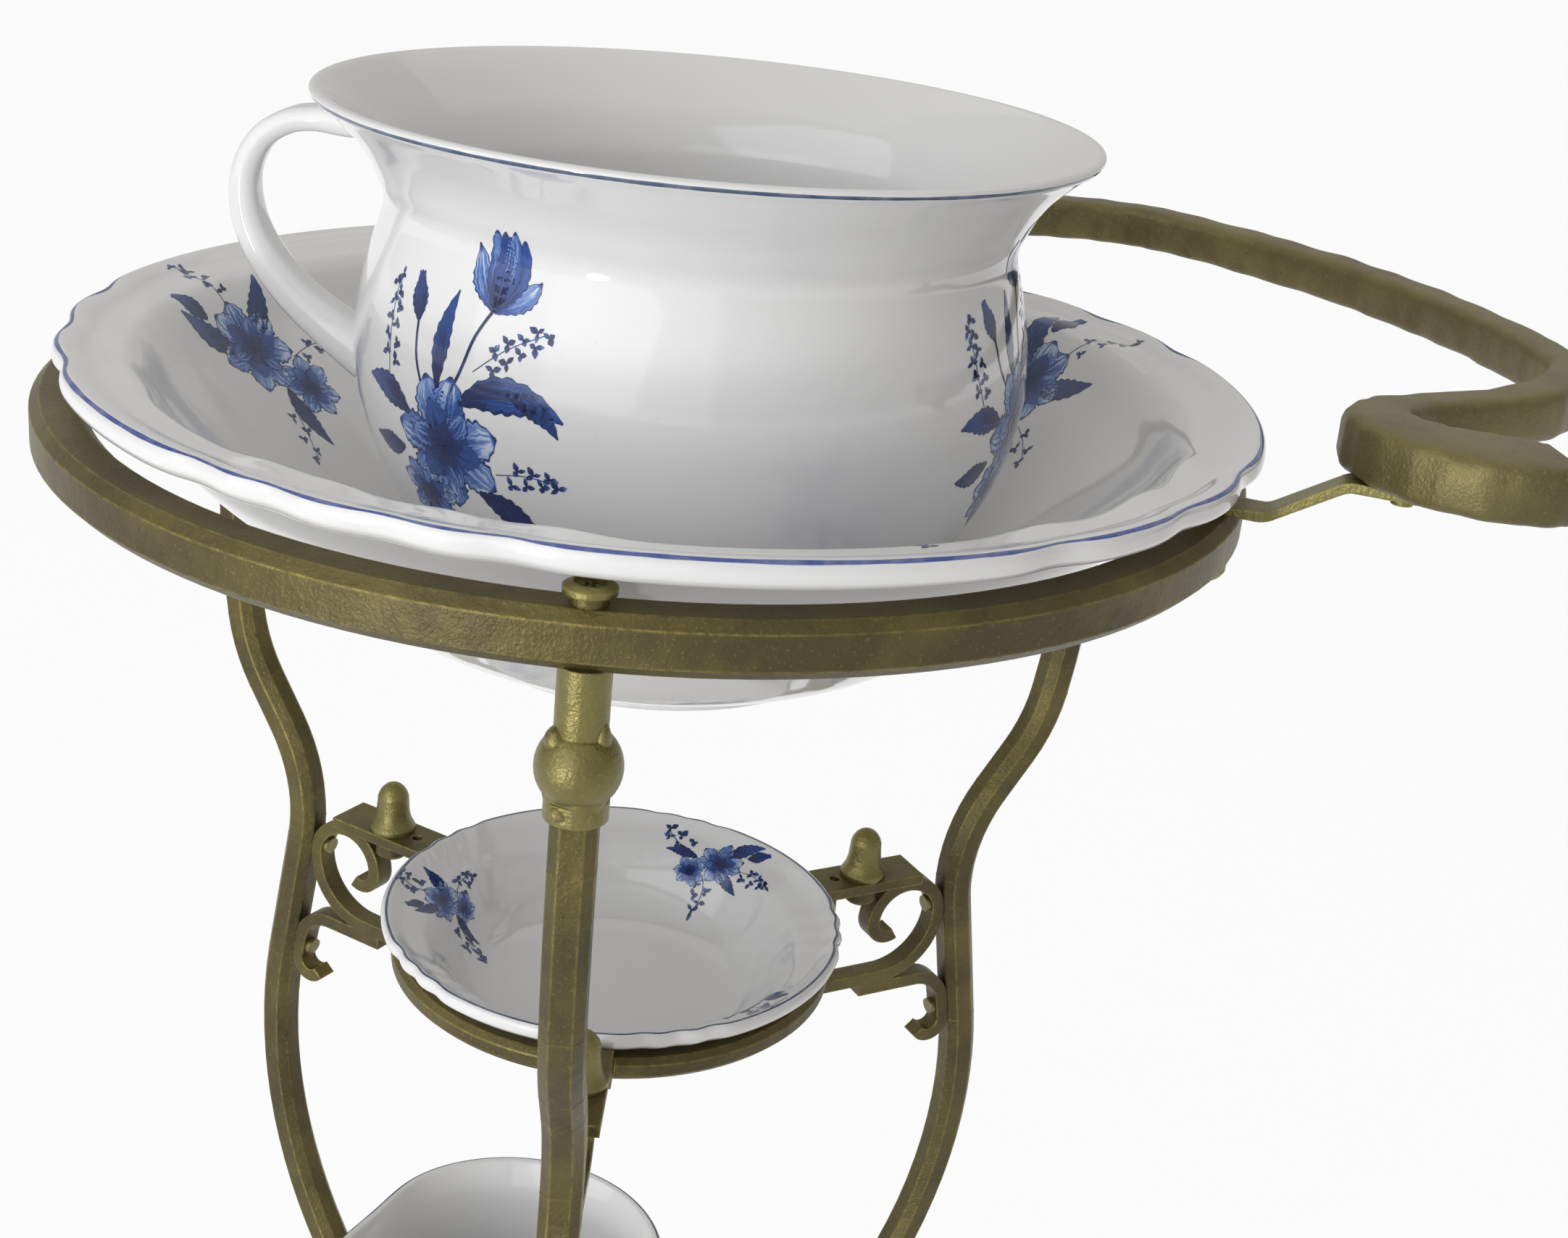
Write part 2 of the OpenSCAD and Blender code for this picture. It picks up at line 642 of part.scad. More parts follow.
module leg() {
  color([0.5, 0.46, 0.28]) difference() {
    upright(leg_start, downward) bar_path(leg_line) chamfered(leg_bar, leg_bar, leg_chamfer);
    // the knop's tenon, the rivets, the waist screw and the foot's pin go into the bar
    translate([leg_start[0], 0, 0])
      rod(screw_d + 2 * fit_clear, leg_top - knop_tenon - end_gap, leg_top + cut);
    upright([touch_r, touch_z], scroll_touch) rotate([0, 90, 0])
      rod(rivet_d + 2 * fit_clear, -cut, rivet_depth + end_gap);
    upright([stay_rivet[0], stay_rivet[1]], hip_slope) rotate([0, 90, 0])
      rod(rivet_d + 2 * fit_clear, scroll_strip / 2 - cut, rivet_depth + scroll_strip / 2 + end_gap);
    radial_rod(waist_screw_d + 2 * hole_clear, leg_waist[0] - leg_bar, leg_waist[0] + leg_bar, waist_z);
    radial_rod(waist_screw_head_d + 2 * hole_clear, leg_waist[0] + leg_half, leg_waist[0] + leg_bar, waist_z);
    // the bar runs on through its foot's top and is cut off level there
    translate([leg_end[0], 0, 0]) rod(4 * leg_bar, foot_height - 2 * leg_bar, foot_height);
    translate([leg_end[0], 0, 0])
      rod(foot_pin_d + 2 * fit_clear, foot_height - cut, foot_height + foot_pin_length + end_gap);
  }
}
module leg_front() { placed() at_leg(leg_azimuth[0]) leg(); }
module leg_right() { placed() at_leg(leg_azimuth[1]) leg(); }
module leg_left() { placed() at_leg(leg_azimuth[2]) leg(); }

module leg_tubes() {
  color([0.6, 0.55, 0.32]) each_leg() translate([ring_mid_r, 0, 0]) difference() {
    rod(leg_tube_d, ring_bottom - leg_tube_length, ring_bottom);
    rod(screw_d + 2 * hole_clear, ring_bottom - leg_tube_length - cut, ring_bottom + cut);
  }
}

// a turned ball between tube and bar, with a threaded bore above and a tenon below
module leg_knops() {
  color([0.62, 0.56, 0.33]) each_leg() translate([ring_mid_r, 0, 0]) difference() {
    union() {
      intersection() {
        translate([0, 0, knop_z]) sphere(d = knop_d);
        rod(2 * knop_d, knop_z - knop_half, knop_z + knop_half);
      }
      rod(knop_neck_d, leg_top, knop_z - knop_half + lap);
      rod(screw_d, leg_top - knop_tenon, leg_top + lap);
    }
    rod(screw_d + 2 * fit_clear, knop_z - knop_half / 2, knop_z + knop_half + cut);
  }
}

module ring_screws() {
  color([0.66, 0.6, 0.36]) each_leg() translate([ring_mid_r, 0, 0]) difference() {
    union() {
      rod(screw_d, knop_z - knop_half / 2 + end_gap, screw_seat + lap);
      intersection() {
        rod(screw_head_d, screw_seat, screw_top);
        translate([0, 0, screw_top - screw_head_d]) sphere(d = 2 * screw_head_d);
      }
    }
    rod(screw_recess_d, screw_top - screw_recess, screw_top + cut);
    for (q = [45, 135]) rotate(q)
      translate([-screw_d / 2, -screw_slot / 2, screw_top - screw_recess - screw_slot_depth])
        cube([screw_d, screw_slot, screw_slot_depth + cut]);
  }
}

module screw_collars() {
  color([0.5, 0.46, 0.3]) each_leg() translate([ring_mid_r, 0, 0]) difference() {
    rod(collar_d, ring_top, screw_seat);
    rod(screw_d + 2 * hole_clear, ring_top - cut, screw_seat + cut);
  }
}

// ======== dish ring, brackets and finials ========
module dish_ring() {
  color([0.52, 0.48, 0.28]) placed() difference() {
    union() {
      translate([0, 0, dish_ring_bottom + dish_ring_height / 2]) rotate_extrude($fn = 120)
        translate([dish_ring_mid_r, 0]) chamfered(dish_ring_bar, dish_ring_height, dish_ring_chamfer);
      for (a = leg_azimuth) at_leg(a) {
        translate([dish_ring_mid_r, -lug_width / 2, dish_ring_top - dish_ring_height / 2])
          cube([lug_root_end - dish_ring_mid_r, lug_width, dish_ring_height / 2]);
        translate([lug_start, -lug_width / 2, dish_ring_top - lap])
          cube([lug_thickness, lug_width, lug_top - dish_ring_top + lap]);
        translate([lug_start, -lug_width / 2, lug_bottom])
          cube([lug_end - lug_start, lug_width, lug_thickness]);
      }
    }
    for (a = leg_azimuth) at_leg(a) {
      translate([finial_r, 0, 0]) rod(finial_stud_d + 2 * hole_clear, lug_bottom - cut, lug_top + cut);
      translate([lug_hole_r, 0, 0]) rod(lug_hole_d, lug_bottom - cut, lug_top + cut);
    }
  }
}

module scroll_bracket() {
  color([0.48, 0.45, 0.26]) difference() {
    union() {
      upright(scroll_start, downward) bar_path(scroll_line)
        square([scroll_strip, scroll_width], center = true);
      upright(stay_start, 0) bar_path(stay_line) square([scroll_strip, scroll_width], center = true);
    }
    upright([touch_r, touch_z], scroll_touch) rotate([0, 90, 0]) {
      rod(rivet_d + 2 * fit_clear, -scroll_strip - cut, cut);
      // a flat seat for the rivet's head in the hollow of the scroll
      rod(rivet_head_d + 2 * hole_clear, -scroll_strip - rivet_head_height, -scroll_strip);
    }
    upright([stay_rivet[0], stay_rivet[1]], hip_slope) rotate([0, 90, 0])
      rod(rivet_d + 2 * fit_clear, -scroll_strip - cut, scroll_strip);
  }
}
module bracket_front() { placed() at_leg(leg_azimuth[0]) scroll_bracket(); }
module bracket_right() { placed() at_leg(leg_azimuth[1]) scroll_bracket(); }
module bracket_left() { placed() at_leg(leg_azimuth[2]) scroll_bracket(); }

// rivets through the strips into the legs, with low round heads on the ring's side
module bracket_rivets() {
  head_h = rivet_head_height;
  color([0.6, 0.55, 0.32]) each_leg() {
    upright([touch_r, touch_z], scroll_touch) rotate([0, 90, 0]) {
      rod(rivet_d, -scroll_strip - lap, rivet_depth);
      rod(rivet_head_d, -scroll_strip - head_h, -scroll_strip);
    }
    upright([stay_rivet[0], stay_rivet[1]], hip_slope) rotate([0, 90, 0]) {
      rod(rivet_d, -scroll_strip / 2 - lap, rivet_depth + scroll_strip / 2);
      rod(rivet_head_d, -scroll_strip / 2 - head_h, -scroll_strip / 2);
    }
  }
}

module finials() {
  h = finial_height;
  b = finial_base_d / 2;
  color([0.64, 0.58, 0.34]) each_leg() translate([finial_r, 0, lug_top]) {
    rotate_extrude() polygon(concat(
      [[0, 0], [b, 0], [b, 0.09 * h], [0.91 * b, 0.16 * h], [0.8 * b, 0.26 * h], [0.73 * b, 0.4 * h],
       [0.7 * b, 0.55 * h]],
      [for (q = [15 : 15 : 90]) [0.7 * b * cos(q), 0.62 * h + 0.38 * h * sin(q)]]));
    rod(finial_stud_d, -lug_thickness - finial_nut_height + 2 * end_gap, lap);
  }
}

module finial_nuts() {
  color([0.45, 0.42, 0.25]) each_leg() translate([finial_r, 0, lug_bottom]) difference() {
    intersection() {
      translate([0, 0, -finial_nut_height]) cylinder(d = finial_nut_d, h = finial_nut_height);
      translate([0, 0, finial_nut_d * 0.5 - finial_nut_height]) sphere(d = 1.28 * finial_nut_d);
    }
    rod(finial_stud_d + 2 * fit_clear, -finial_nut_height + end_gap, cut);
  }
}

// ======== waist ring, shelf and feet ========
module waist_ring() {
  color([0.5, 0.46, 0.28]) placed() difference() {
    translate([0, 0, waist_z]) rotate_extrude($fn = 120)
      translate([waist_mid_r, 0]) chamfered(waist_bar, waist_bar, waist_chamfer);
    for (a = leg_azimuth) at_leg(a)
      radial_rod(waist_screw_d + 2 * fit_clear, waist_ring_r - waist_screw_bite - end_gap,
                 waist_ring_r + cut, waist_z);
    for (a = leg_azimuth) at_leg(a + half_gap) translate([waist_mid_r, 0, 0])
      rod(shelf_screw_d + 2 * hole_clear, waist_z - waist_bar, waist_z + waist_bar);
  }
}

module waist_screws() {
  outer = leg_waist[0] + leg_half;
  color([0.6, 0.55, 0.32]) each_leg() {
    radial_rod(waist_screw_d, waist_ring_r - waist_screw_bite, outer + lap, waist_z);
    difference() {
      radial_rod(waist_screw_head_d, outer, outer + waist_screw_d / 2, waist_z);
      translate([outer + waist_screw_d / 4, -waist_screw_head_d, waist_z - screw_slot / 2])
        cube([waist_screw_d, 2 * waist_screw_head_d, screw_slot]);
    }
  }
}

module jug_shelf() {
  hole_r = shelf_r / 2;
  color([0.5, 0.46, 0.28]) placed() difference() {
    rod(2 * shelf_r, shelf_z, shelf_top);
    for (i = [0 : shelf_holes - 1]) rotate(i * 360 / shelf_holes) translate([hole_r, 0, 0])
      rod(shelf_hole_d, shelf_z - cut, shelf_top + cut);
    for (a = leg_azimuth) at_leg(a + half_gap) translate([waist_mid_r, 0, 0])
      rod(shelf_screw_d + 2 * fit_clear, shelf_z - cut, shelf_z + shelf_screw_bite + end_gap);
  }
}

module shelf_screws() {
  head_h = shelf_screw_head_h;
  low = waist_z - waist_bar / 2;
  color([0.6, 0.55, 0.32]) each_leg() rotate(half_gap) translate([waist_mid_r, 0, 0]) difference() {
    union() {
      rod(shelf_screw_d, low - lap, shelf_z + shelf_screw_bite);
      rod(shelf_screw_head_d, low - head_h, low);
    }
    translate([-shelf_screw_head_d, -screw_slot / 2, low - head_h - cut])
      cube([2 * shelf_screw_head_d, screw_slot, head_h / 3 + cut]);
  }
}

module feet() {
  color([0.52, 0.48, 0.29]) each_leg() translate([leg_end[0], 0, 0]) {
    rotate_extrude() polygon([
      [0, 0], [0.36 * foot_d, 0], [0.46 * foot_d, 0.14 * foot_height], [0.5 * foot_d, 0.36 * foot_height],
      [0.48 * foot_d, 0.56 * foot_height], [0.38 * foot_d, 0.76 * foot_height],
      [0.33 * foot_d, 0.84 * foot_height], [0.35 * foot_d, foot_height], [0, foot_height]]);
    rod(foot_pin_d, foot_height - lap, foot_height + foot_pin_length);
  }
}

// ======== towel rail ========
module rail_frame() { rotate(rail_azimuth) children(); }
module rail_half() {
  translate([rail_r, 0, rail_z]) rotate(-90) bar_path(rail_half_line)
    chamfered(rail_bar, rail_bar, rail_chamfer);
}
module towel_rail() {
  color([0.58, 0.53, 0.3]) placed() rail_frame() difference() {
    union() { rail_half(); mirror([0, 1, 0]) rail_half(); }
    for (s = [-1, 1]) rotate(s * strap_half_angle) translate([strap_rivet_r, 0, 0])
      rod(rivet_d + 2 * fit_clear, rail_z - rail_bar, rail_z + end_gap);
  }
}
module rail_strap() {
  color([0.66, 0.6, 0.36]) difference() {
    upright([strap_seat[0] - strap_inset, strap_seat[1]], 0)
      bar_path(strap_line) square([strap_thickness, strap_width], center = true);
    translate([ring_mid_r, 0, 0])
      rod(strap_bolt_d + 2 * hole_clear, ring_top - cut, ring_top + strap_thickness + cut);
    translate([strap_rivet_r, 0, 0])
      rod(rivet_d + 2 * fit_clear, ring_top, rail_z);
  }
}
module rail_strap_front() { placed() rail_frame() rotate(-strap_half_angle) rail_strap(); }
module rail_strap_rear() { placed() rail_frame() rotate(strap_half_angle) rail_strap(); }

module strap_bolts() {
  seat = ring_top + strap_thickness;
  head_h = strap_bolt_head_h;
  color([0.6, 0.55, 0.32]) placed() rail_frame() for (s = [-1, 1])
    rotate(s * strap_half_angle) translate([ring_mid_r, 0, 0]) {
      rod(strap_bolt_d, ring_bottom - strap_bolt_proud, seat + lap);
      rod(strap_bolt_head_d, seat, seat + head_h);
    }
}
// domed nuts under the ring
module strap_nuts() {
  color([0.62, 0.56, 0.34]) placed() rail_frame() for (s = [-1, 1])
    rotate(s * strap_half_angle) translate([ring_mid_r, 0, 0]) difference() {
      intersection() {
        rod(strap_nut_d, ring_bottom - strap_nut_height, ring_bottom);
        translate([0, 0, ring_bottom]) sphere(d = 1.1 * strap_nut_d);
      }
      rod(strap_bolt_d + 2 * fit_clear, ring_bottom - strap_bolt_proud - end_gap, ring_bottom + cut);
    }
}
module rail_rivets() {
  low = rail_z - rail_bar / 2 - strap_thickness;
  color([0.62, 0.56, 0.34]) placed() rail_frame() for (s = [-1, 1])
    rotate(s * strap_half_angle) translate([strap_rivet_r, 0, 0]) {
      rod(rivet_d, low - lap, rail_z);
      rod(rivet_head_d, low - rivet_head_height, low);
    }
}

// ======== pottery ========
module scoops(r, depth, d, groups, per, spread, z0, z1) {
  for (i = [0 : groups - 1]) for (j = [0 : per - 1])
    rotate(i * 360 / groups + (j - (per - 1) / 2) * spread)
      translate([r + d / 2 - depth, 0, 0]) rod(d, z0, z1);
}
module basin() {
  flange_r = basin_rim_r - basin_roll;
  throat = basin_throat_r;
  foot_r = basin_foot_d / 2;
  drop = basin_under - (basin_bottom + basin_foot_height);
  low = basin_bottom + basin_foot_height;
  span = throat - foot_r;
  outside = [[foot_r + 0.04 * span, low], [foot_r + 0.155 * span, low + 0.02 * drop],
             [foot_r + 0.31 * span, low + 0.13 * drop], [foot_r + 0.49 * span, low + 0.32 * drop],
             [foot_r + 0.715 * span, low + 0.56 * drop], [foot_r + 0.893 * span, low + 0.77 * drop],
             [foot_r + 0.975 * span, low + 0.92 * drop], [foot_r + span, basin_under],
             [flange_r, basin_under]];
  outer = curve(outside);
  inner = inward(outer, basin_wall);
  color([0.93, 0.92, 0.9]) placed() translate([basin_shift, 0, 0]) difference() {
    union() {
      rotate_extrude($fn = 180)
        polygon(concat([[0, low]], outer, turned(inner), [[0, inner[0][1]]]));
      translate([0, 0, basin_under + basin_roll]) rotate_extrude($fn = 180)
        translate([flange_r, 0]) circle(r = basin_roll, $fn = 48);
      difference() {
        rod(basin_foot_d, basin_bottom, low + lap);
        rod(basin_foot_d - 2 * basin_wall, basin_bottom - cut, low);
      }
    }
    rotate(basin_turn)
      scoops(basin_rim_r, basin_lobe_depth, basin_scoop_d, basin_lobes, basin_waves, basin_lobe_gap,
             basin_under - cut, basin_top + cut);
  }
}

pot_neck_z = pot_top - 0.22 * pot_height;
pot_belly_z = pot_bottom + 0.53 * pot_height;
function pot_outside() = let (n = pot_neck_d / 2, b = pot_belly_d / 2, f = pot_foot_d / 2,
    r = pot_rim_d / 2, z = pot_bottom, h = pot_height)
  [[f, z], [f + 0.08 * (b - f), z + 0.025 * h], [f + 0.32 * (b - f), z + 0.075 * h],
   [f + 0.6 * (b - f), z + 0.16 * h],
   [f + 0.84 * (b - f), z + 0.28 * h], [f + 0.97 * (b - f), z + 0.4 * h], [b, pot_belly_z],
   [0.5 * (b + n) + 0.2 * (b - n), z + 0.66 * h], [n, pot_neck_z], [n + 0.12 * (r - n), z + 0.86 * h],
   [n + 0.45 * (r - n), z + 0.94 * h], [r - 0.2 * pot_wall, z + 0.985 * h]];
module pot_body() {
  color([0.95, 0.95, 0.97]) placed() translate([pot_x, 0, 0]) bowl(pot_outside(), pot_wall);
}

// the handle leaves under the lip and comes back to the belly
pot_handle_start = [pot_rim_d / 2 - pot_handle_inset, pot_top - 0.09 * pot_height];
pot_handle_line = handle_line([
  [pot_handle_arm, 0],
  [pot_handle_bend, -pot_handle_turn],
  [pot_handle_back, -pot_handle_fall]
], pot_handle_start, pot_handle_rise, pot_belly_d / 2 - pot_handle_sink);
module pot_handle() {
  color([0.95, 0.95, 0.97]) placed() difference() {
    translate([pot_x, 0, 0]) rotate(180) upright(pot_handle_start, pot_handle_rise)
      bar_path(pot_handle_line)
        chamfered(pot_handle_thickness, pot_handle_width, 0.3 * pot_handle_thickness);
    // cut back to the pot's wall
    translate([pot_x, 0, 0]) rotate_extrude()
      polygon(concat([[0, pot_bottom]], curve(pot_outside()), [[0, pot_top]]));
  }
}

module dish() {
  rim = dish_rim_r;
  foot_r = dish_foot_d / 2;
  seat_r = dish_rest_r + dish_ring_chamfer;
  span = seat_r - foot_r;
  top = dish_seat_z + dish_rim_rise;
  low = top - dish_depth + dish_foot_height;
  outside = [[foot_r, low], [foot_r + 0.2 * span, low + 0.02 * dish_depth],
             [foot_r + 0.57 * span, low + 0.18 * dish_depth],
             [foot_r + 0.87 * span, dish_seat_z - dish_wall], [seat_r, dish_seat_z + 2 * rest_gap],
             [seat_r + 0.55 * (rim - seat_r), dish_seat_z + 0.24 * dish_rim_rise],
             [seat_r + 0.9 * (rim - seat_r), dish_seat_z + 0.5 * dish_rim_rise],
             [rim, top - dish_wall / 2]];
  color([0.93, 0.92, 0.9]) placed() difference() {
    union() {
      bowl(outside, dish_wall);
      difference() {
        rod(dish_foot_d, low - dish_foot_height, low + lap);
        rod(dish_foot_d - 2 * dish_wall, low - dish_foot_height - cut, low);
      }
    }
    rotate(dish_turn)
      scoops(rim, dish_lobe_depth, dish_scoop_d, dish_lobes, dish_waves, dish_lobe_gap,
             top - 2 * dish_wall, top + cut);
  }
}

function jug_outside() = let (f = jug_foot_r, b = jug_belly_r, n = jug_neck_r, r = jug_mouth_r,
    z = jug_bottom, h = jug_height)
  [[f, z], [f + 0.08 * (b - f), z + 0.03 * h], [f + 0.3 * (b - f), z + 0.1 * h],
   [f + 0.72 * (b - f), z + 0.22 * h],
   [b, z + 0.38 * h], [n + 0.55 * (b - n), z + 0.62 * h], [n, z + 0.76 * h],
   [n + 0.35 * (r - n), z + 0.88 * h], [r, z + 0.985 * h]];
// the pulled lip: a leaning cone at the mouth, outside and inside alike
module jug_lip(t) {
  lip_h = 0.3 * jug_height;
  translate([jug_mouth_r - jug_lip_r + jug_spout, 0, jug_top - lip_h])
    cylinder(r1 = jug_lip_r / 4 - t / 2, r2 = jug_lip_r - t, h = lip_h + (t > 0 ? cut : -lap));
}
module jug_frame() { translate([jug_centre, 0, 0]) rotate(jug_way) children(); }
module jug_body() {
  outer = curve(jug_outside());
  inner = inward(outer, jug_wall);
  color([0.95, 0.95, 0.96]) placed() jug_frame() difference() {
    union() {
      bowl(jug_outside(), jug_wall);
      jug_lip(0);
    }
    jug_lip(jug_wall);
    rotate_extrude() polygon(concat([[0, inner[0][1]]], inner,
      [[inner[len(inner) - 1][0], jug_top + cut], [0, jug_top + cut]]));
  }
}
jug_handle_start = [jug_neck_r - jug_wall / 2, jug_bottom + 0.74 * jug_height];
jug_handle_line = handle_line([
  [jug_handle_arm, 0],
  [jug_handle_bend, -jug_handle_turn],
  [jug_handle_back, -jug_handle_fall]
], jug_handle_start, jug_handle_rise, jug_belly_r - jug_handle_sink);
module jug_handle() {
  color([0.95, 0.95, 0.96]) placed() jug_frame() difference() {
    rotate(180) upright(jug_handle_start, jug_handle_rise) bar_path(jug_handle_line)
      circle(d = jug_handle_d, $fn = 32);
    rotate_extrude() polygon(concat([[0, jug_bottom]], curve(jug_outside()), [[0, jug_top]]));
  }
}

top_ring();
leg_front();
leg_right();
leg_left();
leg_tubes();
leg_knops();
ring_screws();
screw_collars();
dish_ring();
bracket_front();
bracket_right();
bracket_left();
bracket_rivets();
finials();
finial_nuts();
waist_ring();
waist_screws();
jug_shelf();
shelf_screws();
feet();
towel_rail();
rail_strap_front();
rail_strap_rear();
strap_bolts();
strap_nuts();
rail_rivets();
basin();
pot_body();
pot_handle();
dish();
jug_body();
jug_handle();
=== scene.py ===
"""Looks of the iron wash basin stand: painted iron, glazed pottery, flowers, light and camera."""
import math
import random

import bpy
from mathutils import Matrix, Vector, noise
from mathutils.bvhtree import BVHTree


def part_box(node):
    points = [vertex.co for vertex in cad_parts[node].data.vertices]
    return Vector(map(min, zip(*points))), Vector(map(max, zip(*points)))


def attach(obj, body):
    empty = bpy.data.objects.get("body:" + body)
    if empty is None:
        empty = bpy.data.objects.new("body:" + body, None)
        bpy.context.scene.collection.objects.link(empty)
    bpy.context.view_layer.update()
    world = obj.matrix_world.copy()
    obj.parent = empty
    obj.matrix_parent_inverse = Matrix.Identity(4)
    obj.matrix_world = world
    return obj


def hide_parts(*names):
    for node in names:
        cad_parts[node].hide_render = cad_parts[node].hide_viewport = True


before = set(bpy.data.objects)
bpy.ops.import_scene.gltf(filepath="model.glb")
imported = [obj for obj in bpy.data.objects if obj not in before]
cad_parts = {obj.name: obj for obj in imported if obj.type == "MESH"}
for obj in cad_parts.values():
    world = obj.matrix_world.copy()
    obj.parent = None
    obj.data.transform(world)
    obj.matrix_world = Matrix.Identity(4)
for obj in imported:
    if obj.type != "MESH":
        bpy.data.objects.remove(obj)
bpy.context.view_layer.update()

MM = 0.001
NOISE_SEED = 6                         # keeps the hammered rail inside the CAD box
noise.seed_set(NOISE_SEED)             # without a seed, roughened pieces differ from run to run

# ---- places, taken from the CAD nodes; lengths are in mm and heights from the floor ----
ring_low, ring_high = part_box("top_ring")
AXIS_X, AXIS_Y = (ring_low.x + ring_high.x) / 2, (ring_low.y + ring_high.y) / 2
RING_TOP = ring_high.z / MM


def at(x, y, z):
    """A point given in mm from the stand's own axis, in the frame that the CAD shares."""
    return Vector((AXIS_X + x * MM, AXIS_Y + y * MM, z * MM))


def middle_of(node):
    """The middle of a node seen from above, in mm from the stand's axis."""
    low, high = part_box(node)
    return ((low.x + high.x) / 2 - AXIS_X) / MM, ((low.y + high.y) / 2 - AXIS_Y) / MM


def polar(centre, r, azimuth, z):
    a = math.radians(azimuth)
    return at(centre[0] + r * math.cos(a), centre[1] + r * math.sin(a), z)


# ======== node helpers ========
class Shader:
    """A material's node tree with short ways to add the nodes that this scene uses."""

    def __init__(self, name):
        self.material = bpy.data.materials.new(name)
        self.material.use_nodes = True
        self.tree = self.material.node_tree
        self.main = self.tree.nodes["Principled BSDF"]

    def node(self, kind, inputs=(), **settings):
        n = self.tree.nodes.new(kind)
        for key, value in settings.items():
            setattr(n, key, value)
        for key, value in dict(inputs).items():
            self.put(value, n.inputs[key])
        return n

    def put(self, value, socket):
        if isinstance(value, bpy.types.NodeSocket):
            self.tree.links.new(value, socket)
        else:
            socket.default_value = value

    def set(self, name, value):
        self.put(value, self.main.inputs[name])

    def place(self):
        return self.node("ShaderNodeTexCoord").outputs["Object"]

    def grain(self, scale, detail=3.0, rough=0.6, where=None):
        """Noise with features of about 1 / scale metres."""
        n = self.node("ShaderNodeTexNoise", {"Scale": scale, "Detail": detail, "Roughness": rough,
                                             "Vector": where or self.place()})
        return n.outputs["Fac"]

    def ramp(self, value, *stops):
        """Maps a value through (place, grey or colour) stops."""
        n = self.node("ShaderNodeValToRGB", {"Fac": value})
        line = n.color_ramp
        while len(line.elements) < len(stops):
            line.elements.new(0.5)
        for element, (position, colour) in zip(line.elements, stops):
            element.position = position
            grey = isinstance(colour, (int, float))
            element.color = (colour, colour, colour, 1) if grey else (*colour, 1)
        return n.outputs["Color"]

    def mix(self, amount, a, b):
        n = self.node("ShaderNodeMix", data_type="RGBA")
        self.put(amount, n.inputs["Factor"])
        for value, socket in ((a, n.inputs[6]), (b, n.inputs[7])):
            self.put((*value, 1) if isinstance(value, tuple) and len(value) == 3 else value, socket)
        return n.outputs[2]

    def math(self, operation, a, b=0.0, c=0.0, clamp=False):
        n = self.node("ShaderNodeMath", operation=operation, use_clamp=clamp)
        for value, socket in zip((a, b, c), n.inputs):
            self.put(value, socket)
        return n.outputs["Value"]

    def attribute(self, name):
        return self.node("ShaderNodeAttribute", attribute_name=name).outputs["Fac"]

    def bump(self, height, depth, strength=1.0, under=None):
        """A bump whose height value of 1 stands for depth in mm."""
        n = self.node("ShaderNodeBump", {"Height": height, "Strength": strength, "Distance": depth * MM})
        if under is not None:
            self.put(under, n.inputs["Normal"])
        return n.outputs["Normal"]


# ======== materials ========
GLAZE_WHITE = (0.80, 0.80, 0.81)
GLAZE_CLOUD = (0.77, 0.765, 0.745)
COBALT_PALE = (0.26, 0.40, 0.70)
COBALT_MID = (0.022, 0.088, 0.35)
COBALT_DARK = (0.006, 0.018, 0.10)
RIM_LINE_BLUE = (0.02, 0.06, 0.30)
RIM_LINE_GREY = (0.035, 0.075, 0.16)
GLAZE_ROUGHNESS = 0.09


def glaze_gloss(s):
    """The glaze's gloss, with the slow ripple that a dipped glaze has."""
    s.set("Roughness", GLAZE_ROUGHNESS)
    s.set("IOR", 1.5)
    s.set("Coat Weight", 0.35)
    s.set("Coat Roughness", 0.03)
    ripple = s.grain(38.0, detail=1.0, rough=0.4)
    orange_peel = s.grain(420.0, detail=1.0, rough=0.5)
    under = s.bump(ripple, 0.9, strength=0.25)
    s.set("Normal", s.bump(orange_peel, 0.03, strength=0.35, under=under))


def glaze_white(s):
    """The glaze's white, a little warmer in soft clouds at random, with tiny specks."""
    clouds = s.ramp(s.grain(9.0, detail=2.0), (0.35, 0.0), (0.75, 1.0))
    white = s.mix(s.math("MULTIPLY", clouds, 0.5), GLAZE_WHITE, GLAZE_CLOUD)
    pits = s.ramp(s.grain(900.0, detail=0.0), (0.80, 0.0), (0.84, 1.0))
    return s.mix(s.math("MULTIPLY", pits, 0.10), white, (0.45, 0.42, 0.38))


def make_glaze(name, line_blue, line_half):
    """White glaze with one brushed line where the mesh's rim_line attribute is near 0."""
    s = Shader(name)
    away = s.math("ABSOLUTE", s.attribute("rim_line"))
    swell = s.grain(60.0, detail=2.0)
    edge = s.math("MULTIPLY_ADD", swell, 0.8 * line_half, 0.6 * line_half)
    inside = s.math("SUBTRACT", edge, away)
    line = s.math("MULTIPLY", inside, 6.0, clamp=True)
    streak = s.ramp(s.grain(140.0, detail=3.0), (0.34, 0.86), (0.6, 1.0))
    cover = s.math("MULTIPLY", line, streak)
    s.set("Base Color", s.mix(cover, glaze_white(s), line_blue))
    glaze_gloss(s)
    return s.material


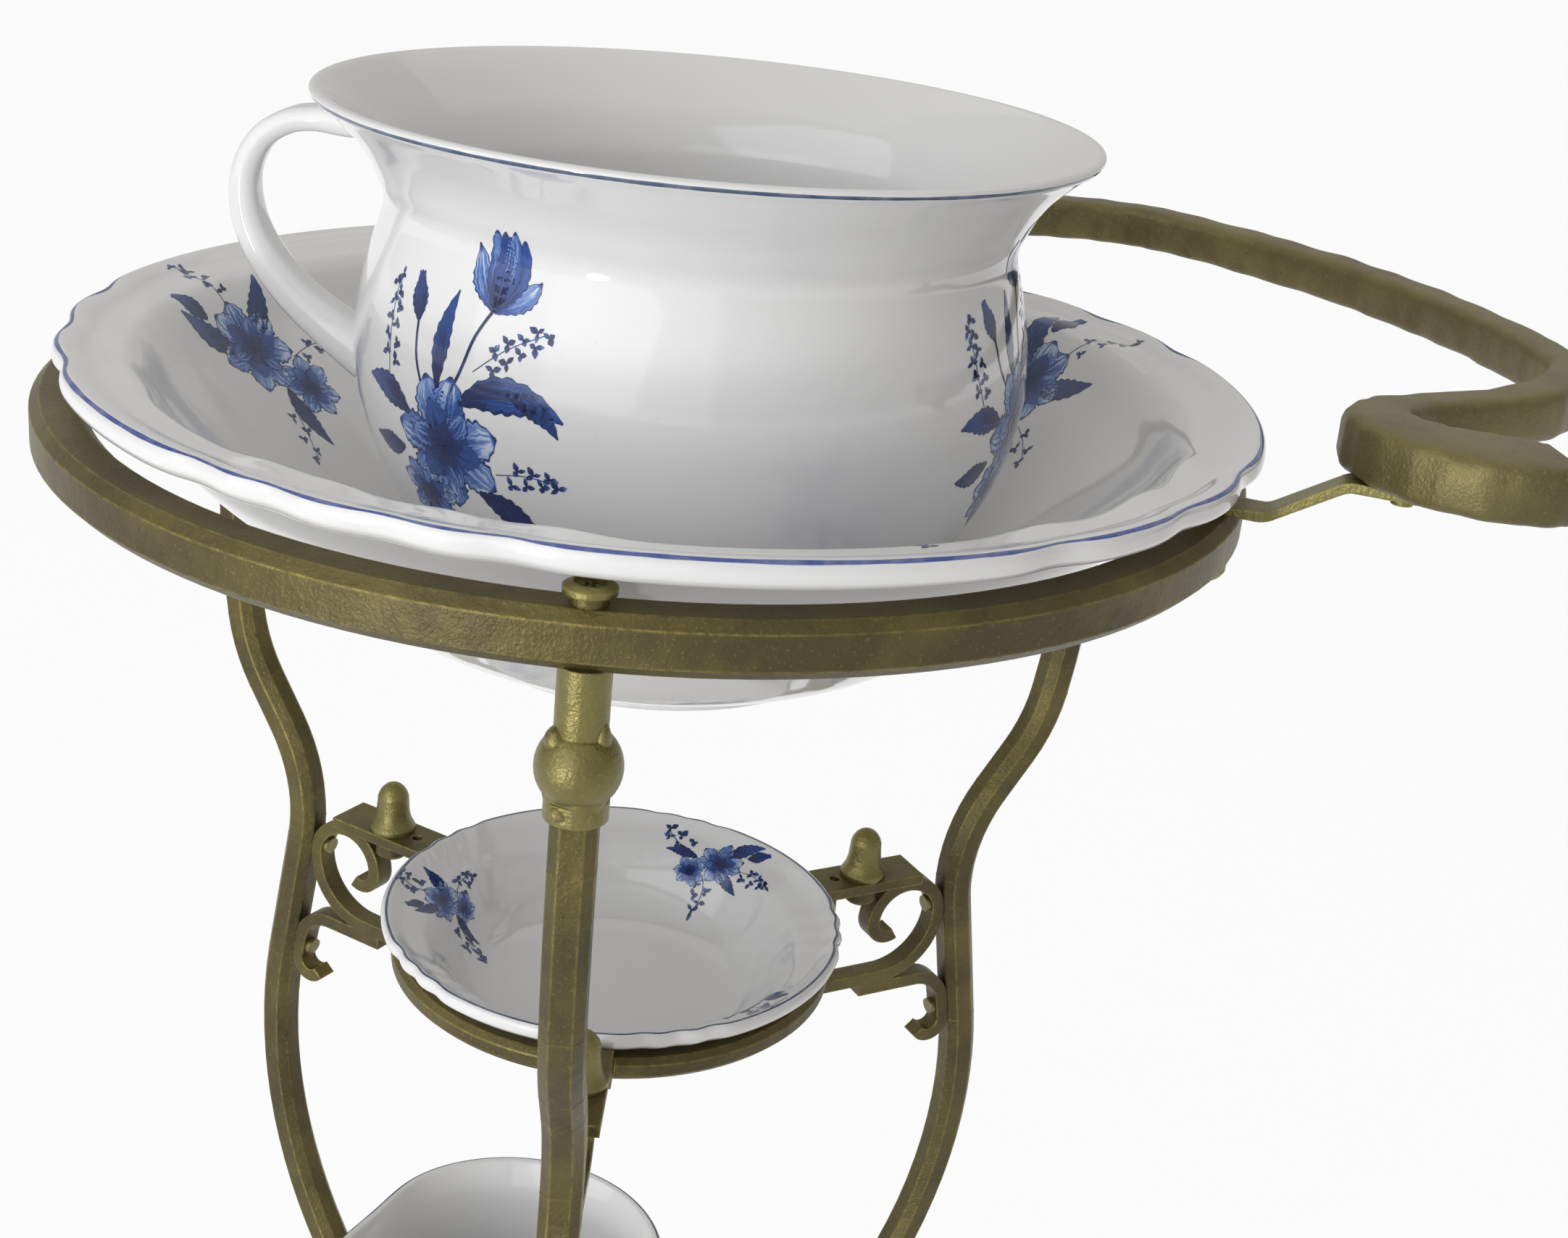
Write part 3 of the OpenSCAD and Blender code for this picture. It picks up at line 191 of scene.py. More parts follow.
def make_flower_paint():
    """Cobalt printed under the glaze: dark outlines, soft washes and fine engraved strokes."""
    s = Shader("cobalt_flowers")
    uv = s.node("ShaderNodeUVMap", uv_map="stroke").outputs["UV"]
    parts = s.node("ShaderNodeSeparateXYZ", {"Vector": uv})
    along, across = parts.outputs["X"], parts.outputs["Y"]
    tone = s.attribute("tone")
    side = s.math("ABSOLUTE", s.math("MULTIPLY_ADD", across, 2.0, -1.0))
    outline = s.ramp(side, (0.80, 0.0), (0.93, 1.0))
    tip = s.ramp(along, (0.86, 0.0), (0.96, 1.0))
    base = s.ramp(along, (0.0, 1.0), (0.45, 0.5), (0.8, 0.22))
    drawn = s.node("ShaderNodeMapping", {"Vector": uv, "Scale": (1.6, 9.0, 1.0)}).outputs["Vector"]
    seed = s.node("ShaderNodeVectorMath", {0: drawn, 1: s.node(
        "ShaderNodeCombineXYZ", {"Z": s.attribute("seed")}).outputs["Vector"]}).outputs["Vector"]
    strokes = s.ramp(s.grain(1.0, detail=2.0, where=seed), (0.40, 0.0), (0.58, 1.0))
    wash = s.math("MULTIPLY", base, s.math("MULTIPLY_ADD", tone, 0.8, 0.32))
    shaded = s.math("MULTIPLY_ADD", strokes, s.math("MULTIPLY_ADD", tone, 0.35, 0.10), wash)
    solid = s.math("MULTIPLY_ADD", tone, 1.7, -0.78, clamp=True)
    drawn_edge = s.math("MULTIPLY", s.math("MAXIMUM", outline, tip), 0.72)
    ink = s.math("MAXIMUM", drawn_edge, s.math("MAXIMUM", shaded, solid), clamp=True)
    patchy = s.ramp(s.grain(700.0, detail=2.0), (0.30, 0.86), (0.55, 1.0))
    ink = s.math("MULTIPLY", ink, patchy)
    white_to_pale = s.mix(s.ramp(ink, (0.05, 0.0), (0.24, 1.0)), glaze_white(s), COBALT_PALE)
    pale_to_mid = s.mix(s.ramp(ink, (0.18, 0.0), (0.42, 1.0)), white_to_pale, COBALT_MID)
    s.set("Base Color", s.mix(s.ramp(ink, (0.38, 0.0), (0.78, 1.0)), pale_to_mid, COBALT_DARK))
    glaze_gloss(s)
    return s.material


def make_gilt(name, gold, brown, gold_cover, rubbed, roughness):
    """Gold-bronze paint over cast iron: a sandy grain, brown flats, gold on rubbed edges, and painted top
    light that makes faces looking up a little more gold.
    """
    s = Shader(name)
    place = s.place()
    sand = s.grain(950.0, detail=3.0, rough=0.6, where=place)
    lumps = s.grain(260.0, detail=3.0, rough=0.6, where=place)
    clouds = s.grain(28.0, detail=4.0, rough=0.65, where=place)
    facing = s.node("ShaderNodeSeparateXYZ", {"Vector": s.node("ShaderNodeNewGeometry").outputs["Normal"]})
    # painted light: faces that look up are painted a little more gold, as if lit from above
    painted_top_light = s.ramp(facing.outputs["Z"], (0.15, 0.0), (0.9, 1.0))
    rounded = s.node("ShaderNodeBevel", {"Radius": 1.1 * MM}, samples=4).outputs["Normal"]
    flat = s.node("ShaderNodeNewGeometry").outputs["Normal"]
    turned = s.node("ShaderNodeVectorMath", {0: rounded, 1: flat}, operation="DOT_PRODUCT").outputs["Value"]
    edge = s.ramp(turned, (0.90, 1.0), (0.99, 0.0))
    worn = s.math("MULTIPLY", edge, s.ramp(lumps, (0.35, 0.25), (0.6, 1.0)))
    patch = s.ramp(clouds, (0.38, 0.0), (0.66, 1.0))
    cover = s.math("MULTIPLY_ADD", patch, 0.20, gold_cover)
    # adds the painted top light to the gold cover
    cover = s.math("MULTIPLY_ADD", painted_top_light, 0.10, cover)
    cover = s.math("MULTIPLY_ADD", worn, rubbed, cover, clamp=True)
    speck = s.ramp(sand, (0.60, 0.0), (0.76, 1.0))
    cover = s.math("MULTIPLY_ADD", speck, 0.16, cover, clamp=True)
    pits = s.ramp(lumps, (0.22, 1.0), (0.34, 0.0))
    paint = s.mix(cover, brown, gold)
    paint = s.mix(s.math("MULTIPLY", pits, 0.55), paint, (0.03, 0.026, 0.02))
    paint = s.mix(s.math("MULTIPLY", speck, 0.16), paint, (0.50, 0.43, 0.22))
    s.set("Base Color", paint)
    s.set("Metallic", s.math("MULTIPLY_ADD", cover, 0.35, 0.50, clamp=True))
    s.set("Roughness", s.math("MULTIPLY_ADD", sand, 0.25, roughness, clamp=True))
    coarse = s.bump(lumps, 0.45, strength=0.6, under=rounded)
    s.set("Normal", s.bump(sand, 0.30, strength=0.8, under=coarse))
    return s.material


def make_floor():
    """A pale floor that the camera sees as white, with the object's soft shadow kept."""
    s = Shader("pale_floor")
    dust = s.ramp(s.grain(14.0, detail=3.0), (0.3, 0.78), (0.7, 0.82))
    s.set("Base Color", dust)
    s.set("Roughness", 0.7)
    glow = s.node("ShaderNodeEmission", {"Color": (1, 1, 1, 1), "Strength": 1.0})
    path = s.node("ShaderNodeLightPath")
    seen = s.math("MAXIMUM", path.outputs["Is Camera Ray"],
                  s.math("MAXIMUM", path.outputs["Is Glossy Ray"], path.outputs["Is Transmission Ray"]))
    blend = s.node("ShaderNodeMixShader", {"Fac": s.math("MULTIPLY", seen, 0.94)})
    s.tree.links.new(s.main.outputs["BSDF"], blend.inputs[1])
    s.tree.links.new(glow.outputs["Emission"], blend.inputs[2])
    s.tree.links.new(blend.outputs["Shader"], s.tree.nodes["Material Output"].inputs["Surface"])
    return s.material


GILT = make_gilt("gilt_iron_paint", gold=(0.38, 0.315, 0.088), brown=(0.060, 0.046, 0.017),
                 gold_cover=0.04, rubbed=0.8, roughness=0.30)
GILT_BRIGHT = make_gilt("gilt_fittings_paint", gold=(0.38, 0.33, 0.11), brown=(0.095, 0.080, 0.027),
                        gold_cover=0.24, rubbed=0.6, roughness=0.22)
GILT_WORN = make_gilt("gilt_rail_paint", gold=(0.38, 0.325, 0.11), brown=(0.095, 0.078, 0.032),
                      gold_cover=0.08, rubbed=0.6, roughness=0.30)
BASIN_GLAZE = make_glaze("basin_glaze", RIM_LINE_BLUE, 0.8)
POT_GLAZE = make_glaze("pot_glaze", RIM_LINE_GREY, 0.65)
DISH_GLAZE = make_glaze("dish_glaze", RIM_LINE_GREY, 0.6)
FLOWER_PAINT = make_flower_paint()


# ======== mesh helpers ========
def smooth_line(points, steps):
    """A Catmull-Rom curve through tuples of any length."""
    out = []
    last = len(points) - 1
    for i in range(last):
        a, b, c, d = (points[max(i - 1, 0)], points[i], points[i + 1], points[min(i + 2, last)])
        for j in range(steps):
            t = j / steps
            out.append(tuple(
                0.5 * (2 * q + (r - p) * t + (2 * p - 5 * q + 4 * r - s) * t * t
                       + (3 * q - p - 3 * r + s) * t * t * t)
                for p, q, r, s in zip(a, b, c, d)))
    out.append(tuple(points[-1]))
    return out


def add_object(name, verts, faces, material, body, replaces=()):
    """A smooth-shaded mesh that rides on a body, has a slot and may stand for CAD nodes."""
    mesh = bpy.data.meshes.new(name)
    mesh.from_pydata([tuple(v) for v in verts], [], faces)
    mesh.validate()
    mesh.update()
    mesh.polygons.foreach_set("use_smooth", [True] * len(mesh.polygons))
    mesh.materials.append(material)
    obj = bpy.data.objects.new(name, mesh)
    bpy.context.collection.objects.link(obj)
    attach(obj, body)
    if replaces:
        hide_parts(*replaces)
    return obj


def set_values(obj, name, values):
    """Keeps one number per vertex on the mesh, for its material."""
    obj.data.attributes.new(name, "FLOAT", "POINT").data.foreach_set("value", values)


def lengths_along(profile):
    """The length of the profile from its start to each of its points."""
    run = [0.0]
    for (r0, z0), (r1, z1) in zip(profile, profile[1:]):
        run.append(run[-1] + math.hypot(r1 - r0, z1 - z0))
    return run


def revolve(name, profile, centre, material, body, replaces, turns, line_at, shape=None):
    """A closed pottery wall: the profile runs from the underside's middle to the floor's middle.

    The blue line is painted where the profile has its point number line_at."""
    run = lengths_along(profile)
    line_run = run[line_at]
    verts, line = [], []
    for i, (r, z) in enumerate(profile):
        for k in range(turns):
            a = 360.0 * k / turns
            rr, zz = shape(i, r, z, a) if shape else (r, z)
            verts.append(polar(centre, rr, a, zz))
            line.append(run[i] - line_run)
    faces = []
    for i in range(len(profile) - 1):
        for k in range(turns):
            n = (k + 1) % turns
            faces.append((i * turns + k, i * turns + n, (i + 1) * turns + n, (i + 1) * turns + k))
    end = (len(profile) - 1) * turns
    for start, z, flip in ((0, profile[0][1], True), (end, profile[-1][1], False)):
        verts.append(at(centre[0], centre[1], z))
        line.append(line[start])
        for k in range(turns):
            n = (k + 1) % turns
            pair = (start + n, start + k) if flip else (start + k, start + n)
            faces.append((len(verts) - 1, *pair))
    obj = add_object(name, verts, faces, material, body, replaces)
    set_values(obj, "rim_line", line)
    return obj


def frames_along(points):
    """Directions along a line, each with a side and an up that don't twist."""
    out, up = [], None
    for i, p in enumerate(points):
        ahead = (points[min(i + 1, len(points) - 1)] - points[max(i - 1, 0)]).normalized()
        if up is None:
            up = Vector((0, 0, 1)) if abs(ahead.z) < 0.9 else Vector((0, 1, 0))
        side = ahead.cross(up).normalized()
        up = side.cross(ahead).normalized()
        out.append((p, side, up))
    return out


def sweep(points, sections):
    """Vertices and faces of a closed bar: one section, a ring of (side, up) in metres, per point."""
    verts, faces = [], []
    count = len(sections[0])
    for (p, side, up), section in zip(frames_along(points), sections):
        verts += [p + side * s + up * u for s, u in section]
    for i in range(len(points) - 1):
        for k in range(count):
            n = (k + 1) % count
            faces.append((i * count + k, (i + 1) * count + k, (i + 1) * count + n, i * count + n))
    last = (len(points) - 1) * count
    faces.append(tuple(range(count)))
    faces.append(tuple(last + k for k in reversed(range(count))))
    return verts, faces


def soft_rectangle(width, height, corner, per_side=5):
    """A ring of points round a rectangle with rounded corners, in mm."""
    out = []
    for q in range(4):
        cx = (width / 2 - corner) * (1, -1, -1, 1)[q]
        cy = (height / 2 - corner) * (1, 1, -1, -1)[q]
        for j in range(per_side):
            a = math.radians(90 * q + 90 * j / (per_side - 1))
            out.append((cx + corner * math.cos(a), cy + corner * math.sin(a)))
    return out


def bell(x, width):
    """1 at x = 0, falling off smoothly to both sides."""
    return math.exp(-(x / width) ** 2)


def turn_between(a, b):
    """The angle from b round to a, between -180 and 180 degrees."""
    return (a - b + 180) % 360 - 180


def rim_wave(a, waves, width):
    """How much of a kink the rim has at azimuth a: 1 in the middle of a kink."""
    return sum(bell(turn_between(a, w), width) for w in waves)


def flute_height(a, depth, waves, swirl, width, widening, steepness):
    """How far a flute stands up at azimuth a. It starts at a kink of the rim, where depth is 0,
    swirls round and widens on its way in, and ends where depth is 1."""
    ridge = sum(bell(turn_between(a, w + swirl * depth), width + widening * depth) for w in waves)
    return ridge * math.sin(math.pi * min(1.0, depth * steepness)) * (1 - depth) ** 0.5


# ======== basin ========
BASIN_CENTRE = middle_of("basin")
BASIN_LOW, BASIN_TOP = (v.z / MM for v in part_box("basin"))
# azimuths of the small inward kinks in the rim; the last two groups are hidden in the photo
RIM_WAVES = (-183, -170, -157, -126.5, -118.8, -108, -98, -52.7, -35.7, -21.9, 22, 36, 50, 95, 108, 121)
WAVE_DEPTH = 2.3
WAVE_WIDTH = 3.4                       # degrees
WAVE_FROM_R, WAVE_TO_R = 150, 184      # the kinks fade in between these radii
WAVE_DIP = 0.35                        # the inner surface sinks by this share of a kink
FLUTE_DEPTH = 2.4
FLUTE_FROM_R, FLUTE_TO_R = 181, 96


def basin_profile():
    """From the middle of the underside round the lip to the middle of the floor."""
    z, top = BASIN_LOW, BASIN_TOP
    lip_z = top - 9.2
    foot = [(1, 7), (56, 7), (59, 5), (60, 0.6), (61, 0), (65, 0), (66.2, 0.8), (67.2, 4.5), (71, 6.8)]
    wall = [(82, 0.104), (97.7, 0.203), (116.2, 0.378), (138, 0.592), (155, 0.773), (163, 0.9),
            (166.5, 0.966), (170, 0.998)]
    under = [(r, z + h) for r, h in foot] + [(r, z + share * (lip_z - z)) for r, share in wall]
    lip = [(176, lip_z + 0.1), (181.5, lip_z + 0.2), (185.5, lip_z + 1.0), (187.8, lip_z + 3.2),
           (188.3, lip_z + 5.6), (187.8, top - 1.5), (186.7, top - 0.4), (185.4, top), (183.4, top - 0.3)]
    flange = [(181, top - 1.0), (177.5, top - 2.6), (172, top - 3.4), (167, top - 4.4)]
    floor_depth = top - z - 13
    bowl = [(163.2, 0.094), (160, 0.149), (153, 0.273), (135.4, 0.487), (112.5, 0.722), (94.4, 0.886),
            (79.9, 0.98), (66, 1.0), (30, 1.0), (1, 1.0)]
    inner = flange + [(r, top - share * floor_depth) for r, share in bowl]
    fine = smooth_line(under + lip + inner, 4)
    return fine, 4 * (len(under) + len(lip) - 3)


def basin_shape(i, r, z, a):
    """Kinks the rim and raises the flutes inside it."""
    near_rim = max(0.0, min(1.0, (r - WAVE_FROM_R) / (WAVE_TO_R - WAVE_FROM_R)))
    wave = WAVE_DEPTH * rim_wave(a, RIM_WAVES, WAVE_WIDTH) * near_rim ** 2
    inside = i > basin_line_at
    if inside and FLUTE_TO_R < r < FLUTE_FROM_R:
        depth = (FLUTE_FROM_R - r) / (FLUTE_FROM_R - FLUTE_TO_R)
        z += FLUTE_DEPTH * flute_height(a, depth, RIM_WAVES, swirl=16, width=3.6, widening=6, steepness=1.5)
    return r - wave, z - (WAVE_DIP * wave if inside else 0)


basin_points, basin_line_at = basin_profile()
basin = revolve("basin_bowl", basin_points, BASIN_CENTRE, BASIN_GLAZE, "basin", ["basin"],
                turns=360, shape=basin_shape, line_at=basin_line_at)

# ======== chamber pot ========
POT_CENTRE = middle_of("pot_body")
POT_LOW, POT_TOP = (v.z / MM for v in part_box("pot_body"))
POT_DRAWN_HEIGHT = 155.3               # the height that the outside's wall below is drawn for


def pot_profile():
    """From the middle of the underside over the flared rim to the middle of the floor."""
    z, top = POT_LOW, POT_TOP
    grow = (top - z) / POT_DRAWN_HEIGHT
    foot = [(1, 3), (46, 3), (49, 2.2), (50.5, 0.5), (52, 0), (55, 0), (57, 1.2), (59.5, 3.6)]
    wall = [(72.1, 11.5), (86.2, 24.6), (92.4, 36.3), (98.6, 47.8), (103.6, 61.8), (106.0, 76), (106.2, 84),
            (104.6, 97), (101.6, 110), (98.9, 119), (98.3, 123), (98.9, 127), (100.6, 130.6), (103.0, 135.5),
            (107.4, 141.5), (112.5, 146.5), (117.2, 150.6)]
    under = [(r, z + h) for r, h in foot] + [(r, z + grow * h) for r, h in wall]
    lip = [(119.8, top - 3.1), (120.7, top - 2.0), (120.8, top - 1.1), (120.1, top - 0.3),
           (118.8, top), (117.4, top - 0.4), (115.5, top - 1.6)]
    inner = [(111, top - 5.2), (105.5, top - 10.6), (99.5, top - 17.5), (95.4, top - 25), (93.6, top - 33),
             (96.2, top - 47), (99.5, top - 59), (101, top - 74), (98.6, top - 92), (92.8, top - 108),
             (80.5, top - 127), (66, z + 14.6), (52, z + 6), (30, z + 5), (1, z + 5)]
    return smooth_line(under + lip + inner, 3), 3 * (len(under) + 1)


pot_points, pot_line_at = pot_profile()
pot = revolve("pot_bowl", pot_points, POT_CENTRE, POT_GLAZE, "pot", ["pot_body"],
              turns=216, line_at=pot_line_at)

HANDLE_ROUNDNESS = 0.46                # corner radius as a share of the handle's thinner side
FAR_FROM_LINE = 1000.0                 # mm; a handle has no painted line
# the handle's line: (distance from the pot's axis, height), then its width and thickness
POT_HANDLE = [
    (105.6, 861.2, 22, 6.5), (109, 861.4, 20, 8), (114, 861.6, 17.5, 8.4), (121, 861.6, 15, 7.6),
    (129, 860, 14, 7.4), (137, 854.8, 14, 7.6), (142, 846, 14.2, 8.2), (143, 836, 14.6, 9),
    (140.5, 825, 15, 10), (134.5, 814.5, 15.6, 11), (126.5, 805.5, 16.6, 12), (117.5, 798.2, 18.6, 13.4),
    (108.5, 792.4, 22.5, 15), (102.5, 789.2, 26, 17)]


def handle(name, line, centre, azimuth, body, node):
    """A pulled strap handle that flares where it joins the body."""
    fine = smooth_line(line, 6)
    points = [polar(centre, r, azimuth, z) for r, z, _, _ in fine]
    sections = []
    for _, _, width, thick in fine:
        ring = soft_rectangle(width, thick, HANDLE_ROUNDNESS * min(width, thick))
        sections.append([(s * MM, u * MM) for s, u in ring])
    verts, faces = sweep(points, sections)
    obj = add_object(name, verts, faces, POT_GLAZE, body, [node])
    set_values(obj, "rim_line", [FAR_FROM_LINE] * len(verts))


handle("pot_pulled_handle", POT_HANDLE, POT_CENTRE, 180, "pot", "pot_handle")

# ======== dish ========
DISH_CENTRE = middle_of("dish")
DISH_LOW, DISH_TOP = (v.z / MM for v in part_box("dish"))
# azimuths of the small kinks in its rim, in five groups
DISH_WAVES = [-141 + 72 * group + step for group in range(5) for step in (-8.5, 0, 8.5)]
DISH_WAVE_DEPTH = 1.3
DISH_WAVE_WIDTH = 3.0                  # degrees
DISH_WAVE_FROM_R, DISH_WAVE_TO_R = 66, 81
DISH_FLUTE_DEPTH = 1.1
DISH_FLUTE_FROM_R, DISH_FLUTE_TO_R = 78, 38


def dish_profile():
    """A flared dish whose thick edge stands up over the ring."""
    z, top = DISH_LOW, DISH_TOP
    under = [(1, z + 3.4), (34, z + 3.4), (35.3, z + 2), (36, z), (38.4, z), (39.2, z + 2.2), (45, z + 3.9),
             (56.2, z + 9.9), (65.2, z + 22.4), (69.3, z + 26.8), (76, z + 29.3), (80.1, z + 32.2)]
    lip = [(81.3, z + 34.4), (81.3, top - 1.5), (80.7, top - 0.5), (79.5, top), (78.2, top - 0.5)]
    inner = [(76.4, top - 2.0), (73.6, top - 4.3), (70, top - 6.2), (65.6, top - 8.8), (61, top - 14.6),
             (53.6, top - 24.8), (44, top - 29.6), (22, top - 30.9), (1, top - 31)]
    return smooth_line(under + lip + inner, 4), 4 * (len(under) + 3)


def dish_shape(i, r, z, a):
    """Kinks the rim and raises the flutes inside it."""
    near_rim = max(0.0, min(1.0, (r - DISH_WAVE_FROM_R) / (DISH_WAVE_TO_R - DISH_WAVE_FROM_R)))
    wave = DISH_WAVE_DEPTH * near_rim ** 2 * rim_wave(a, DISH_WAVES, DISH_WAVE_WIDTH)
    if i > dish_line_at and DISH_FLUTE_TO_R < r < DISH_FLUTE_FROM_R:
        depth = (DISH_FLUTE_FROM_R - r) / (DISH_FLUTE_FROM_R - DISH_FLUTE_TO_R)
        z += DISH_FLUTE_DEPTH * flute_height(a, depth, DISH_WAVES, swirl=18, width=3.2, widening=4,
                                             steepness=1.3)
    return r - wave, z


dish_points, dish_line_at = dish_profile()
dish = revolve("dish_bowl", dish_points, DISH_CENTRE, DISH_GLAZE, "dish", ["dish"],
               turns=240, shape=dish_shape, line_at=dish_line_at)

# ======== jug ========
JUG_CENTRE = (-30.0, 0.0)
JUG_LOW, JUG_TOP = (v.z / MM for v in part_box("jug_body"))
SPOUT_AZIMUTH = 210
SPOUT_HEIGHT = 44                      # the spout is pulled out of this much of the neck


def jug_profile():
    """From the middle of the underside over the rim to the middle of the floor."""
    z, top = JUG_LOW, JUG_TOP
    under = [(1, z + 3), (34, z + 3), (35.5, z + 1), (36.5, z), (39, z), (40.4, z + 1.4), (41, z + 4.5),
             (44.9, z + 15.2), (52.7, z + 33.4), (57.2, z + 51), (57.4, z + 66), (54.6, z + 94),
             (51.2, z + 108), (50.1, z + 116), (51.4, z + 126), (54.2, z + 138)]
    lip = [(57.2, top - 3.8), (58.2, top - 2.0), (58.2, top - 1), (57.4, top), (56, top), (54.6, top - 1.2)]
    inner = [(51.2, top - 9), (47.4, top - 22), (46.0, top - 34), (47, top - 44), (51.4, top - 62),
             (53, top - 88), (50.6, top - 108), (44.2, top - 126), (39, top - 143), (34, top - 147),
             (15, top - 147.5), (1, top - 147.5)]
    return smooth_line(under + lip + inner, 4), 4 * (len(under) + 3)


def jug_shape(i, r, z, a):
    """Pulls the lip out into a spout, and lets the rim rise towards it."""
    up = max(0.0, (z - (JUG_TOP - SPOUT_HEIGHT)) / SPOUT_HEIGHT)
    off = turn_between(a, SPOUT_AZIMUTH)
    pull = 15.5 * up ** 1.6 * bell(off, 25)
    pinch = -2.5 * up * bell(abs(off) - 48, 20)
    dip = -3.4 * up ** 3 * (1 - bell(off, 62))
    return r + pull + pinch, z + dip


jug_points, jug_line_at = jug_profile()
jug = revolve("jug_pot", jug_points, JUG_CENTRE, POT_GLAZE, "jug", ["jug_body"],
              turns=192, shape=jug_shape, line_at=jug_line_at)

# as for the pot: (distance from the jug's axis, height, width, thickness)
JUG_HANDLE = [
    (50, 408.6, 16.5, 12), (54, 409.3, 14.5, 10.6), (60, 410, 12, 9.5), (68, 408.6, 11, 9),
    (75.5, 404, 10.6, 9), (81, 396, 10.6, 9), (83.3, 385, 10.6, 9), (82.4, 372, 10.8, 9.4),
    (78.4, 359, 11, 9.8), (72, 348.4, 11.6, 10.4), (64.5, 339.6, 13, 11.6), (57, 332.6, 16, 14),
    (50, 327, 20, 17)]
handle("jug_pulled_handle", JUG_HANDLE, JUG_CENTRE, SPOUT_AZIMUTH - 180, "jug", "jug_handle")

# ======== towel rail ========
RAIL_MIDDLE = 30                     # azimuth of the rail's middle
RAIL_R = 306
RAIL_LOW = RING_TOP + 17
RAIL_BAR = 16
# one end of the rail, in mm from the stand's axis: x, y, full width of the hammered bar, height
RAIL_END = [
    (302.8, 43, 16, 16), (300.6, 31.5, 16, 16), (295.6, 20.4, 16.2, 16), (288.4, 8.6, 16.4, 16),
    (280, -2.2, 16.2, 16), (263, -15.8, 16, 16), (246, -25.8, 16, 16), (232, -34, 16.6, 16.2),
    (222.8, -42, 18, 16.6), (217.6, -51.6, 20.5, 17), (217.8, -62.4, 24, 17.4), (222.4, -72.4, 28, 17.8),
    (230.4, -80.4, 32, 18), (240.6, -85.2, 35, 18), (251.4, -86.6, 34, 18), (261.5, -85.8, 29.6, 17.6)]


def rail_half(mirrored):
    """Points with width and height, from the rail's middle to one tip."""
    line = [(RAIL_R * math.cos(math.radians(a)), RAIL_R * math.sin(math.radians(a)), RAIL_BAR, RAIL_BAR)
            for a in range(RAIL_MIDDLE, 9, -4)]
    fine = smooth_line(line + RAIL_END, 7)
    if not mirrored:
        return fine
    c, s = math.cos(math.radians(2 * RAIL_MIDDLE)), math.sin(math.radians(2 * RAIL_MIDDLE))
    return [(c * x + s * y, s * x - c * y, w, h) for x, y, w, h in fine]


def rail_bar():
    """The whole bar, its sides swelling and shrinking a little as a hammer leaves them."""
    line = list(reversed(rail_half(True)))[:-1] + rail_half(False)
    points, sections = [], []
    for i, (x, y, width, height) in enumerate(line):
        points.append(at(x, y, RAIL_LOW + height / 2))
        swell = 0.35 * math.sin(i * 0.55) + 0.25 * math.sin(i * 1.37 + 1)
        wide = width + (swell if width < 17 else 1.6 * swell)
        ring = soft_rectangle(wide, height, 3.6 + 0.4 * math.sin(i * 0.8), per_side=4)
        sections.append([(s * MM, u * MM) for s, u in ring])
    return sweep(points, sections)


def roughen(verts, depth, size, seed):
    """Moves each vertex a little, as a hammer and the sand of a mould leave it."""
    shift = Vector((seed * 7.3, seed * 1.9, seed * 4.1))
    return [v + noise.noise_vector(v / (size * MM) + shift) * depth * MM for v in verts]


rail_verts, rail_faces = rail_bar()
rail = add_object("towel_rail_bar", roughen(rail_verts, 0.45, 14, 3), rail_faces, GILT_WORN, "frame",
                  ["towel_rail"])
rail_soft = rail.modifiers.new("corner softening", "BEVEL")
rail_soft.width, rail_soft.segments, rail_soft.limit_method = 0.9 * MM, 2, "ANGLE"

# ======== welds around the knops ========
LEG_AZIMUTHS = (-90, 30, 150)
RING_MID_R = 182
KNOP_HALF_HEIGHT = 9.1
KNOP_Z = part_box("leg_knops")[1].z / MM - KNOP_HALF_HEIGHT
# the weld below the knop: (radius, height under the knop's middle), from the ball down to the bar
CONE = [(4, -4), (9.3, -5.0), (8.9, -7.4), (8.3, -9.6), (7.7, -11.6), (7.2, -13.6), (6.7, -15.6),
        (4, -16.2)]
# name, then mm to the side, outward and up from the knop's middle, half width, half height, first seed
BLOBS = [
    ("weld_left", -5.4, 2.6, 7.6, 3.6, 4.6, 41), ("weld_right", 5.3, 2.0, 9.0, 2.7, 5.4, 51),
    ("weld_drop", -3.0, 5.6, -11.0, 3.2, 2.4, 61), ("weld_bead", 3.8, 5.6, -12.0, 2.3, 2.6, 71)]
CONE_SEED = 31


def lumpy(name, centre, rings, depth, size, seed):
    """A closed lump of weld: rings of (radius, height) turned round an upright line and roughened."""
    around = 24
    step = 2 * math.pi / around
    verts = [centre + Vector((r * math.cos(k * step), r * math.sin(k * step), z)) * MM
             for r, z in rings for k in range(around)]
    faces = [(i * around + k, i * around + (k + 1) % around, (i + 1) * around + (k + 1) % around,
              (i + 1) * around + k) for i in range(len(rings) - 1) for k in range(around)]
    faces += [tuple(range(around)), tuple((len(rings) - 1) * around + k for k in reversed(range(around)))]
    lump = add_object(name, roughen(verts, depth, size, seed), faces, GILT_BRIGHT, "frame")
    fine = lump.modifiers.new("fine", "SUBSURF")
    fine.levels = fine.render_levels = 2


def blob_rings(wide, tall):
    """The rings of a rounded blob, from its top down."""
    return [(wide * math.sin(math.radians(a)) or 0.05, tall * math.cos(math.radians(a)))
            for a in (8, 30, 55, 80, 105, 130, 152, 172)]


def weld_blob(name, azimuth, side, out, up, wide, tall, seed):
    """A blob beside the tube: side and out are mm along and away from the ring, up from the knop's middle."""
    turn = math.radians(azimuth)
    foot = polar((0, 0), RING_MID_R + out, azimuth, KNOP_Z + up)
    centre = foot + Vector((-math.sin(turn), math.cos(turn), 0)) * side * MM
    lumpy(name, centre, blob_rings(wide, tall), 0.9, 5.0, seed)


